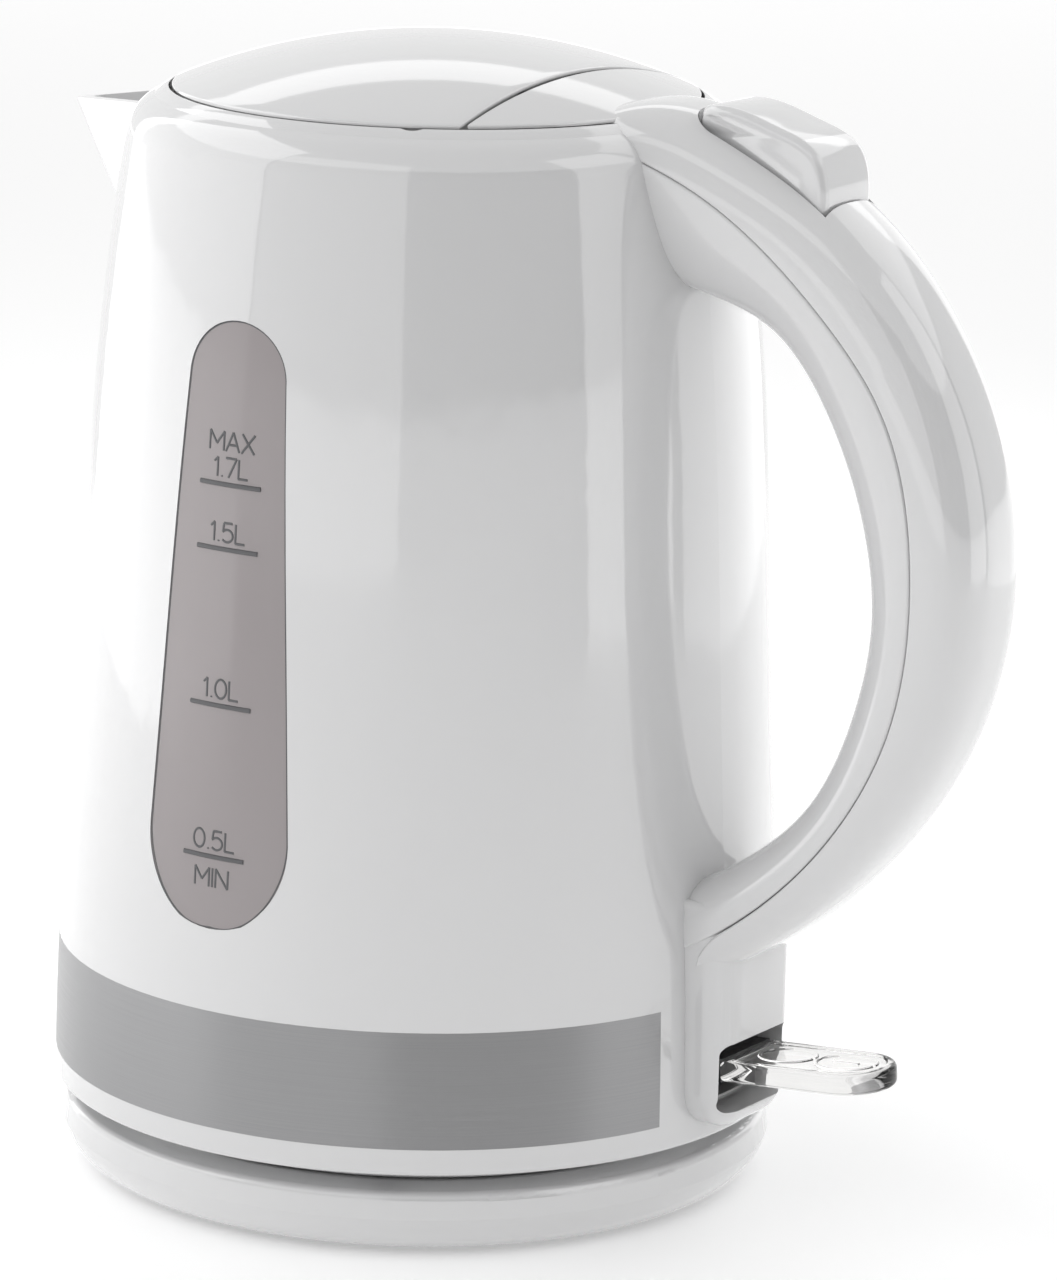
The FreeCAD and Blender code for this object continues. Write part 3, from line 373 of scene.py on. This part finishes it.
def revolve(name, profile, steps=256):
    """Closed (r, z) outline turned round the jug's axis."""
    rings = []
    for i in range(steps):
        a = 2 * math.pi * i / steps
        rings.append([(r * math.cos(a), r * math.sin(a), z) for r, z in profile])
    count = len(profile)
    points = [p for r in rings for p in r]
    faces = []
    for i in range(steps):
        n = (i + 1) % steps
        for j in range(count):
            k = (j + 1) % count
            faces.append((i * count + j, n * count + j, n * count + k, i * count + k))
    return mesh_object(name, points, faces)


def block(name, x0, x1, y0, y1, z0, z1):
    """Box between two corners."""
    return tube_mesh(name, [[(x0, y0, z), (x1, y0, z), (x1, y1, z), (x0, y1, z)] for z in (z0, z1)])


def rod(name, x, z, radius, half):
    """Cylinder along Y."""
    turns = np.linspace(0, 2 * math.pi, 48, endpoint=False)
    return tube_mesh(name, [[(x + radius * math.cos(a), y, z + radius * math.sin(a)) for a in turns]
                            for y in (-half, half)])


def combine(obj, other, how):
    """Boolean, applied at once; the other object is removed."""
    modifier = obj.modifiers.new("combine", "BOOLEAN")
    modifier.operation = how
    modifier.solver = "EXACT"
    modifier.object = other
    bpy.context.view_layer.update()
    graph = bpy.context.evaluated_depsgraph_get()
    mesh = bpy.data.meshes.new_from_object(obj.evaluated_get(graph))
    obj.modifiers.clear()
    old = obj.data
    obj.data = mesh
    bpy.data.meshes.remove(old)
    mesh.name = obj.name
    bpy.data.objects.remove(other)
    return obj


def finish_piece(obj, body, slot, *replaced, sharp=32):
    """Smooth shading with crisp edges, material, body and the CAD nodes that the piece stands for."""
    mesh = obj.data
    mesh.polygons.foreach_set("use_smooth", [True] * len(mesh.polygons))
    mesh.set_sharp_from_angle(angle=math.radians(sharp))
    mesh.materials.clear()
    mesh.materials.append(materials[slot])
    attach(obj, body)
    if replaced:
        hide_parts(*replaced)
    return obj


# ---------------------------------------------------------------- handle
HANDLE_OUTER = [(46, 232.5), (62, 235), (80, 229.3), (98.6, 220), (119, 201.8), (133.6, 176),
                (138.97, 145.8), (133.9, 116), (115.2, 84.3), (92, 63), (78, 54.5)]
HANDLE_INNER = [(54, 200.5), (73, 196), (87.8, 190.8), (101.6, 174.7), (110.6, 152.2),
                (112.8, 136), (109.4, 115.8), (100, 95.5), (86.8, 82.8), (71, 73.5)]
HANDLE_SEAM = [(44, 230), (60, 224.8), (74.2, 219.1), (101.1, 199.2), (118.6, 177.3),
               (125.5, 147), (122.1, 115.6), (107.4, 88.4), (91.4, 72.1), (79, 63.2)]
GRIP_HALF, ROOT_HALF = 14.0, 16.5
ROOT_TAPER, ROOT_FADE = 0.26, 0.35
OVAL_POWER = 0.72
STATIONS = 150
TIP_START, TIP_END = 0.955, 0.998
TIP_SQUARE, TIP_PROUD = 0.86, 0.4


def crossing(a, b, curve):
    """Share of the way from a to b where the segment meets the polyline."""
    d = b - a
    for p, q in zip(curve, curve[1:]):
        e = q - p
        det = d[0] * -e[1] + e[0] * d[1]
        if abs(det) < 1e-9:
            continue
        r = p - a
        t = (r[0] * -e[1] + e[0] * r[1]) / det
        s = (d[0] * r[1] - d[1] * r[0]) / det
        if -0.001 <= s <= 1.001 and -0.2 <= t <= 1.2:
            return t
    return None


def handle_rings(part, gap, edge, depth=2.2):
    """Rings of one half of the handle: rounded lips at the seam and a flat web between them."""
    shares = np.linspace(0, 1, STATIONS)
    outer, inner = spline(HANDLE_OUTER)(shares), spline(HANDLE_INNER)(shares)
    seam = spline(HANDLE_SEAM)(np.linspace(0, 1, 300))
    found = [crossing(o, i, seam) for o, i in zip(outer, inner)]
    rings = []
    last = 0.25
    for t, o, i, f in zip(shares, outer, inner, found):
        last = f if f is not None else last
        f = min(max(last, 0.03), 0.9)
        if part == "outer":
            if t > TIP_START:
                f *= math.sqrt(max(1 - ((t - TIP_START) / (TIP_END - TIP_START)) ** 2, 0))
            if t > TIP_END or f < 0.08:
                break
        middle, span = (o + i) / 2, o - i
        reach = np.linalg.norm(span) / 2
        along = span / (2 * reach)
        fade = max(0.0, 1 - t / ROOT_FADE)
        half = GRIP_HALF + (ROOT_HALF - GRIP_HALF) * fade
        taper = ROOT_TAPER * fade
        power = OVAL_POWER
        if part == "outer":
            tip = max(0.0, (t - TIP_SQUARE) / (1 - TIP_SQUARE))
            half += TIP_PROUD * tip
            power -= 0.3 * tip

        def surface(angle):
            c, s = max(math.cos(angle), 0.0), math.sin(angle)
            u = math.copysign(abs(s) ** power, s)
            width = half * (1 + taper * u) * c ** power
            return np.array([middle[0] + along[0] * reach * u, width, middle[1] + along[1] * reach * u])

        u = max(-0.97, min(0.97, 1 - 2 * f))
        seam_angle = math.asin(math.copysign(abs(u) ** (1 / power), u))
        way = 1 if part == "outer" else -1
        here = surface(seam_angle)
        ahead = surface(seam_angle + way * 0.02) - here
        tangent = ahead / np.linalg.norm(ahead)
        inward = np.array([tangent[1] * along[0] * way, 0, tangent[1] * along[1] * way])
        inward[1] = -abs(np.dot(tangent, [along[0], 0, along[1]]))
        inward /= np.linalg.norm(inward)
        side = []
        start = here + tangent * gap
        side.append(start + inward * (edge + depth))
        for k in range(5):
            turn = math.pi / 2 * k / 4
            lip = inward * edge * (1 - math.sin(turn)) + tangent * edge * (1 - math.cos(turn))
            side.append(start + lip)
        first = seam_angle + way * 0.02
        while np.linalg.norm(surface(first) - here) < gap + edge * 1.25:
            first += way * 0.01
        for angle in np.linspace(first, way * math.pi / 2, 30):
            side.append(surface(angle))
        mirror = [np.array([p[0], -p[1], p[2]]) for p in reversed(side[:-1])]
        rings.append(side + mirror)
    return rings


def cut_by_jug(obj):
    """Takes away what would stand inside the jug's wall."""
    side = spline(JUG_PROFILE)(np.linspace(0, 1, 60))
    outline = [(0.0, 10.0), (78.3, 10.0)] + [(r, z) for r, z in side]
    outline += [(62.4, 226.8), (58.7, 229.5), (56.2, 231.2), (0.0, 231.2)]
    return combine(obj, revolve("cutter", outline, 200), "DIFFERENCE")


def dome_z(r):
    return DOME_TOP - BALL_R + math.sqrt(BALL_R ** 2 - r * r)


def dome_piece(name, centre_x, inside, foot_z, edge=0.5, count=400):
    """Part of the crowned top, from a plan outline that is star-shaped round (centre_x, 0)."""
    reach = []
    for i in range(count):
        a = 2 * math.pi * i / count
        lo, hi = 0.0, 120.0
        for _ in range(40):
            mid = (lo + hi) / 2
            if inside(centre_x + mid * math.cos(a), mid * math.sin(a)):
                lo = mid
            else:
                hi = mid
        reach.append((a, lo))

    def ring(inset, drop, share=1.0):
        points = []
        for a, far in reach:
            rho = max(far - inset, 0) * share
            x, y = centre_x + rho * math.cos(a), rho * math.sin(a)
            points.append((x, y, dome_z(math.hypot(x, y)) - drop if drop is not None else foot_z))
        return points

    lip = edge + RIM_LIP
    rings = [ring(RIM_UNDERCUT, None), ring(RIM_UNDERCUT, lip), ring(0.0, lip)]
    for k in range(6):
        turn = math.pi / 2 * k / 5
        rings.append(ring(edge * (1 - math.cos(turn)), edge * (1 - math.sin(turn))))
    for k in range(1, 25):
        rings.append(ring(edge, 0.0, 1 - (k / 24) * 0.99))
    return tube_mesh(name, rings)


def oblong(half, z0, z1, r_low, r_top, steps=10):
    """Outline in the Y-Z plane with round corners."""
    points = []
    corners = [(half - r_low, z0 + r_low, r_low, -90), (half - r_top, z1 - r_top, r_top, 0),
               (-half + r_top, z1 - r_top, r_top, 90), (-half + r_low, z0 + r_low, r_low, 180)]
    for cy, cz, r, first in corners:
        for k in range(steps + 1):
            a = math.radians(first + 90 * k / steps)
            points.append((cy + r * math.cos(a), cz + r * math.sin(a)))
    return points


def make_panel():
    """Switch panel with a rounded front and the slot for the lever."""
    rings = [[(x, y, z) for y, z in oblong(PANEL_HALF, PANEL_Z0, PANEL_Z1, PANEL_CORNER, 1.0)]
             for x in (66.0, 74.0, PANEL_X - PANEL_FRONT_R)]
    for k in range(1, 11):
        turn = math.pi / 2 * k / 10
        d = PANEL_FRONT_R * (1 - math.cos(turn))
        x = PANEL_X - PANEL_FRONT_R * (1 - math.sin(turn))
        outline = oblong(PANEL_HALF - d, PANEL_Z0 + d, PANEL_Z1 - d, PANEL_CORNER - d, 0.9)
        rings.append([(x, y, z) for y, z in outline])
    panel = tube_mesh("panel", rings)
    slot = [[(x, y, z) for y, z in oblong(SLOT_HALF + grow, SLOT_Z0 - grow, SLOT_Z1 + grow, 2.4, 2.4)]
            for x, grow in ((73.0, 0), (PANEL_X - 0.5, 0), (PANEL_X + 0.3, 0.5))]
    return combine(panel, tube_mesh("slot", slot), "DIFFERENCE")


def lid_swing():
    """Space that the lid's rear edge sweeps about its hinge, with the running gap."""
    hinge_x, hinge_z = LID_HINGE
    rings = []
    for y in np.linspace(-SWING_HALF, SWING_HALF, 61):
        top = dome_z(min(math.hypot(LID_SPLIT_X, y), LID_R))
        reach = math.hypot(LID_SPLIT_X - hinge_x, top - hinge_z) + LID_GAP + SWING_EXTRA
        turns = np.linspace(0, 2 * math.pi, 96, endpoint=False)
        rings.append([(hinge_x + reach * math.cos(a), y, hinge_z + reach * math.sin(a)) for a in turns])
    return tube_mesh("lid_swing", rings)


def button_pocket():
    """Opening that the button works in, with a round front end."""
    half = BUTTON_HALF + POCKET_SIDE_GAP
    rings = []
    for k in range(41):
        y = -half * math.cos(math.pi * k / 40)
        front = BUTTON_FRONT - POCKET_FRONT_GAP + BUTTON_NOSE * (1 - math.sqrt(max(1 - (y / half) ** 2, 0)))
        rings.append([(front, y, POCKET_FRONT_Z), (POCKET_REAR, y, POCKET_REAR_Z),
                      (POCKET_REAR, y, POCKET_TOP), (front, y, POCKET_TOP)])
    return tube_mesh("pocket", rings)


def make_handle():
    outer = tube_mesh("handle_outer_moulding", handle_rings("outer", 0.08, 0.45))
    cover = dome_piece("rear_cover", 46.0,
                       lambda x, y: x > LID_SPLIT_X + LID_GAP and math.hypot(x, y) < LID_R, COVER_FOOT)
    outer = cut_by_jug(combine(outer, cover, "UNION"))
    combine(outer, lid_swing(), "DIFFERENCE")
    combine(outer, button_pocket(), "DIFFERENCE")
    for number, channel in enumerate(LATCH_CHANNEL):
        combine(outer, block(f"latch_channel_{number}", *channel), "DIFFERENCE")
    finish_piece(outer, "jug", "white_gloss", "handle_outer_shell")
    grip = tube_mesh("handle_grip_moulding", handle_rings("inner", 0.08, 0.6))
    grip = cut_by_jug(combine(grip, make_panel(), "UNION"))
    for number, channel in enumerate(LATCH_CHANNEL):
        combine(grip, block(f"latch_channel_{number}", *channel), "DIFFERENCE")
    finish_piece(grip, "jug", "white_gloss", "handle_inner_shell")


def inset_outline(outline, distance):
    """Closed outline moved inwards by a small distance."""
    p = np.array(outline, float)
    ahead, behind = np.roll(p, -1, 0), np.roll(p, 1, 0)
    a = ahead - p
    b = p - behind
    a /= np.linalg.norm(a, axis=1)[:, None]
    b /= np.linalg.norm(b, axis=1)[:, None]
    area = np.sum(p[:, 0] * ahead[:, 1] - ahead[:, 0] * p[:, 1])
    sign = 1 if area > 0 else -1
    na, nb = (np.stack([-v[:, 1], v[:, 0]], 1) * sign for v in (a, b))
    middle = na + nb
    middle /= np.maximum(np.sum(middle * na, axis=1), 0.4)[:, None]
    return p + middle * distance


def make_button():
    top = spline([(67.2, 231.5), (69.4, 235.0), (76.0, 236.2), (88.0, 233.2),
                  (98.0, 228.2), (100.0, 223.0), (99.8, 215.4)])(np.linspace(0, 1, 60))
    outline = [tuple(p) for p in top]
    outline += [(98.8, 214.4), (96.2, 214.2), (85.0, 220.4), (74.0, 226.6), (68.0, 229.4)]
    rings = []
    for k in range(9):
        turn = math.pi / 2 * k / 8
        inset = BUTTON_EDGE * (1 - math.sin(turn))
        y = -BUTTON_HALF + BUTTON_EDGE * (1 - math.cos(turn))
        rings.append([(x, y, z) for x, z in inset_outline(outline, inset)])
    rings += [[(x, -y, z) for x, y, z in ring] for ring in reversed(rings)]
    for ring in rings:
        for j, (x, y, z) in enumerate(ring):
            back = min(max((BUTTON_FRONT + BUTTON_NOSE - x) / BUTTON_NOSE, 0), 1)
            ring[j] = (x, y * max(math.sqrt(1 - back ** 2), 0.03), z)
    button = tube_mesh("release_button_cap", rings)
    spring_x, spring_y, radius = BUTTON_SPRING
    well = [[(spring_x + radius * math.cos(a), spring_y + radius * math.sin(a), z)
             for a in np.linspace(0, 2 * math.pi, 48, endpoint=False)] for z in (205.0, 221.0)]
    combine(button, tube_mesh("spring_well", well), "DIFFERENCE")
    for number, well in enumerate(LATCH_WELLS):
        combine(button, block(f"latch_well_{number}", *well), "DIFFERENCE")
    combine(button, rod("pin_bore", *BUTTON_PIN), "DIFFERENCE")
    finish_piece(button, "release_button", "white_gloss", "release_button", sharp=50)


def make_lid():
    lid = dome_piece("lid_dome", -8.0,
                     lambda x, y: x < LID_SPLIT_X and math.hypot(x, y) < LID_R, RING_Z - 2.2)
    combine(lid, block("hinge_hollow", *HINGE_HOLLOW), "DIFFERENCE")
    finish_piece(lid, "lid", "white_gloss", "lid_outer")


# ---------------------------------------------------------------- water window
JUG_SIDE = spline(JUG_PROFILE)(np.linspace(0, 1, 200))


def on_window(x, z, proud=0.0):
    """Point on the near window's face."""
    r = float(np.interp(z, JUG_SIDE[:, 1], JUG_SIDE[:, 0])) - WINDOW_INSET + proud
    return (x, -math.sqrt(r * r - x * x), z)


def window_edge():
    """Outline of the near window, starting and ending at the middle of its foot."""
    low = [(0, 66.9), (7.7, 68.3), (13.8, 74.4), (17.1, 86.0)]
    side = [tuple(q) for q in spline(low)(np.linspace(0, 1, 20))]
    half = side + bow(0, 179.7, 11.8, 11.8, 0, 90)
    return half + [(-x, z) for x, z in reversed(half[:-1])]


def stroke_rings(path, half, proud, sunk):
    """Raised line along a path of (x, z) points on the window, as rings of a rounded bar."""
    p = np.array(path, float)
    ahead = np.gradient(p, axis=0)
    ahead /= np.linalg.norm(ahead, axis=1)[:, None]
    rings = []
    for (x, z), (dx, dz) in zip(p, ahead):
        nx, nz = -dz, dx
        ring = [on_window(x - nx * half, z - nz * half, -sunk)]
        for k in range(5):
            turn = math.pi * k / 4
            side = -math.cos(turn) * half
            ring.append(on_window(x + nx * side, z + nz * side, proud * math.sin(turn)))
        ring.append(on_window(x + nx * half, z + nz * half, -sunk))
        rings.append(ring)
    return rings


def resample(points, step=0.4):
    """Evenly spaced points along a polyline."""
    p = np.array(points, float)
    run = np.r_[0, np.cumsum(np.linalg.norm(np.diff(p, axis=0), axis=1))]
    count = max(3, int(run[-1] / step) + 1)
    where = np.linspace(0, run[-1], count)
    return np.stack([np.interp(where, run, p[:, i]) for i in (0, 1)], 1)


def bow(cx, cz, rx, rz, first, last, count=12):
    """Points of an elliptical arc between two angles in degrees."""
    turns = [math.radians(first + (last - first) * k / count) for k in range(count + 1)]
    return [(cx + rx * math.cos(a), cz + rz * math.sin(a)) for a in turns]


# strokes of each character in a cell 0.62 wide and 1 high; each entry is (advance, strokes)
GLYPHS = {
    "M": (0.86, [[(0, 0), (0, 1)], [(0, 1), (0.37, 0.35)],
                 [(0.37, 0.35), (0.74, 1)], [(0.74, 1), (0.74, 0)]]),
    "A": (0.80, [[(0, 0), (0.34, 1)], [(0.34, 1), (0.68, 0)], [(0.12, 0.34), (0.56, 0.34)]]),
    "X": (0.74, [[(0, 0), (0.62, 1)], [(0, 1), (0.62, 0)]]),
    "I": (0.22, [[(0.05, 0), (0.05, 1)]]),
    "N": (0.80, [[(0, 0), (0, 1)], [(0, 1), (0.62, 0)], [(0.62, 0), (0.62, 1)]]),
    "L": (0.56, [[(0, 1), (0, 0)], [(0, 0), (0.46, 0)]]),
    "1": (0.38, [[(0.02, 0.78), (0.2, 1)], [(0.2, 1), (0.2, 0)]]),
    "7": (0.66, [[(0, 1), (0.54, 1)], [(0.54, 1), (0.16, 0)]]),
    "0": (0.72, [bow(0.29, 0.5, 0.29, 0.5, 90, 450, 24)]),
    "5": (0.68, [[(0.5, 1), (0.08, 1)], [(0.08, 1), (0.03, 0.56)],
                 bow(0.25, 0.33, 0.29, 0.33, 142, -140, 18)]),
    ".": (0.24, [[(0.06, 0.0), (0.06, 0.07)]]),
}
MARK_HALF_WIDTH = 7.5
LEVELS = [(158.4, ["1.7L", "MAX"], []), (145.2, ["1.5L"], []),
          (113.0, ["1.0L"], []), (81.6, ["0.5L"], ["MIN"])]
BAR_HALF, BAR_PROUD = 0.5, 0.32
# the line round the window's edge is painted shadow: a thin dark raised stroke where the gap round the
# window would only cast shade
LETTER_PROUD, SHADOW_LINE_HALF, SHADOW_LINE_PROUD = 0.16, 0.16, 0.08
LINE_SUNK = 0.15
TEXT_ABOVE, TEXT_BELOW = 1.5, 2.4
GLYPH_WIDTH, GLYPH_HEIGHT, ROW_STEP = 4.85, 3.9, 5.3
GLYPH_STROKE = 0.26


def text_strokes(text, centre_x, foot_z):
    """Strokes of a short text, centred, as lists of (x, z) points."""
    width = (sum(GLYPHS[c][0] for c in text) - 0.12) * GLYPH_WIDTH
    x = centre_x - width / 2
    strokes = []
    for c in text:
        advance, lines = GLYPHS[c]
        for points in lines:
            strokes.append([(x + px * GLYPH_WIDTH, foot_z + pz * GLYPH_HEIGHT) for px, pz in points])
        x += advance * GLYPH_WIDTH
    return strokes


def make_window_marks():
    """Raised level bars and numbers on each window, plus a dark line round each window's edge that is
    painted shadow: ink colour standing in for the shade of the thin gap round the window.
    """
    # first entry: the dark line round the window's edge, painted shadow in ink colour
    parts = [(resample(window_edge(), 1.2), SHADOW_LINE_HALF, SHADOW_LINE_PROUD)]
    for z, above, below in LEVELS:
        parts.append((resample([(-MARK_HALF_WIDTH, z), (MARK_HALF_WIDTH, z)]), BAR_HALF, BAR_PROUD))
        for row, text in enumerate(above):
            for stroke in text_strokes(text, 0.0, z + TEXT_ABOVE + row * ROW_STEP):
                parts.append((resample(stroke), GLYPH_STROKE, LETTER_PROUD))
        for row, text in enumerate(below):
            for stroke in text_strokes(text, 0.0, z - TEXT_BELOW - GLYPH_HEIGHT - row * ROW_STEP):
                parts.append((resample(stroke), GLYPH_STROKE, LETTER_PROUD))
    points, faces = [], []
    for path, half, proud in parts:
        rings = stroke_rings(path, half, proud, LINE_SUNK)
        count = len(rings[0])
        base = len(points)
        points += [p for ring in rings for p in ring]
        for i in range(len(rings) - 1):
            for j in range(count):
                k = (j + 1) % count
                a, b = base + i * count, base + (i + 1) * count
                faces.append((a + j, a + k, b + k, b + j))
        faces.append(tuple(base + j for j in range(count)))
        faces.append(tuple(base + (len(rings) - 1) * count + j for j in reversed(range(count))))
    for side, name in ((1, "level_marks_and_shadow_line_near"), (-1, "level_marks_and_shadow_line_far")):
        marks = mesh_object(name, [(x * side, y * side, z) for x, y, z in points], faces)
        finish_piece(marks, "jug", "black_plastic")
        # ink colour for the printed bars and numbers, and for the painted shadow line round the window
        marks.data.materials[0] = materials["mark_ink"]


# ---------------------------------------------------------------- switch lever
LEVER_ROOT_X, LEVER_RISE, DISH = 83.0, 0.6, 0.35
BEAD_HALF, BEAD_PROUD, BEAD_SUNK = 0.45, 0.4, 0.3


def bead(path, z, half, proud):
    """Rounded ridge along a path of (x, y) points on a level face."""
    p = np.array(path, float)
    ahead = np.gradient(p, axis=0)
    ahead /= np.linalg.norm(ahead, axis=1)[:, None]
    crown = [(-half * math.cos(a), proud * math.sin(a)) for a in np.linspace(0, math.pi, 7)]
    section = [(-half, -BEAD_SUNK)] + crown + [(half, -BEAD_SUNK)]
    rings = []
    for (x, y), (dx, dy) in zip(p, ahead):
        rings.append([(x - dy * s, y + dx * s, z + rise) for s, rise in section])
    return tube_mesh("bead", rings)


def make_lever():
    """Clear tongue with two raised ovals and a bar."""
    pivot = Vector((LEVER_PIVOT[0], 0, LEVER_PIVOT[1]))
    tip = bow(LEVER_TIP_X - 10, 0, 10, LEVER_HALF, -90, 90, 40)
    outline = [(LEVER_ROOT_X, -LEVER_HALF)] + tip + [(LEVER_ROOT_X, LEVER_HALF)]
    z0 = LEVER_PIVOT[1] - LEVER_T / 2 + LEVER_RISE
    rings = []

    def level(inset, z):
        rings.append([(x, y, z) for x, y in inset_outline(outline, inset)])

    for k in range(6):
        turn = math.pi / 2 * k / 5
        level(LEVER_EDGE * (1 - math.sin(turn)), z0 + LEVER_EDGE * (1 - math.cos(turn)))
    for k in range(6):
        turn = math.pi / 2 * k / 5
        level(LEVER_EDGE * (1 - math.cos(turn)), z0 + LEVER_T - LEVER_EDGE * (1 - math.sin(turn)))
    level(LEVER_EDGE + 0.5, z0 + LEVER_T)
    level(LEVER_EDGE + 0.9, z0 + LEVER_T - DISH)
    lever = tube_mesh("lever_tongue", rings)
    face = z0 + LEVER_T - DISH
    symbol_x = LEVER_TIP_X - 10.5
    bar = [(symbol_x + reach, 0) for reach in (-3.0, 0, 3.0)]
    for path in (bow(symbol_x, 0, 6.6, 5.6, 0, 352, 44), bow(93.5, 0, 6.2, 5.2, 0, 352, 44), bar):
        combine(lever, bead(path, face, BEAD_HALF, BEAD_PROUD), "UNION")
    swing = Matrix.Translation(pivot * MM) @ Matrix.Rotation(math.radians(-LEVER_TILT), 4, "Y")
    swing = swing @ Matrix.Translation(-pivot * MM)
    lever.data.transform(swing)
    finish_piece(lever, "on_off_lever", "clear_lever", "switch_lever", sharp=40)


materials = make_materials()
paint_cad(materials)
make_lid()
make_handle()
make_button()
make_window_marks()
make_lever()
place_floor()
place_lights()
place_camera()
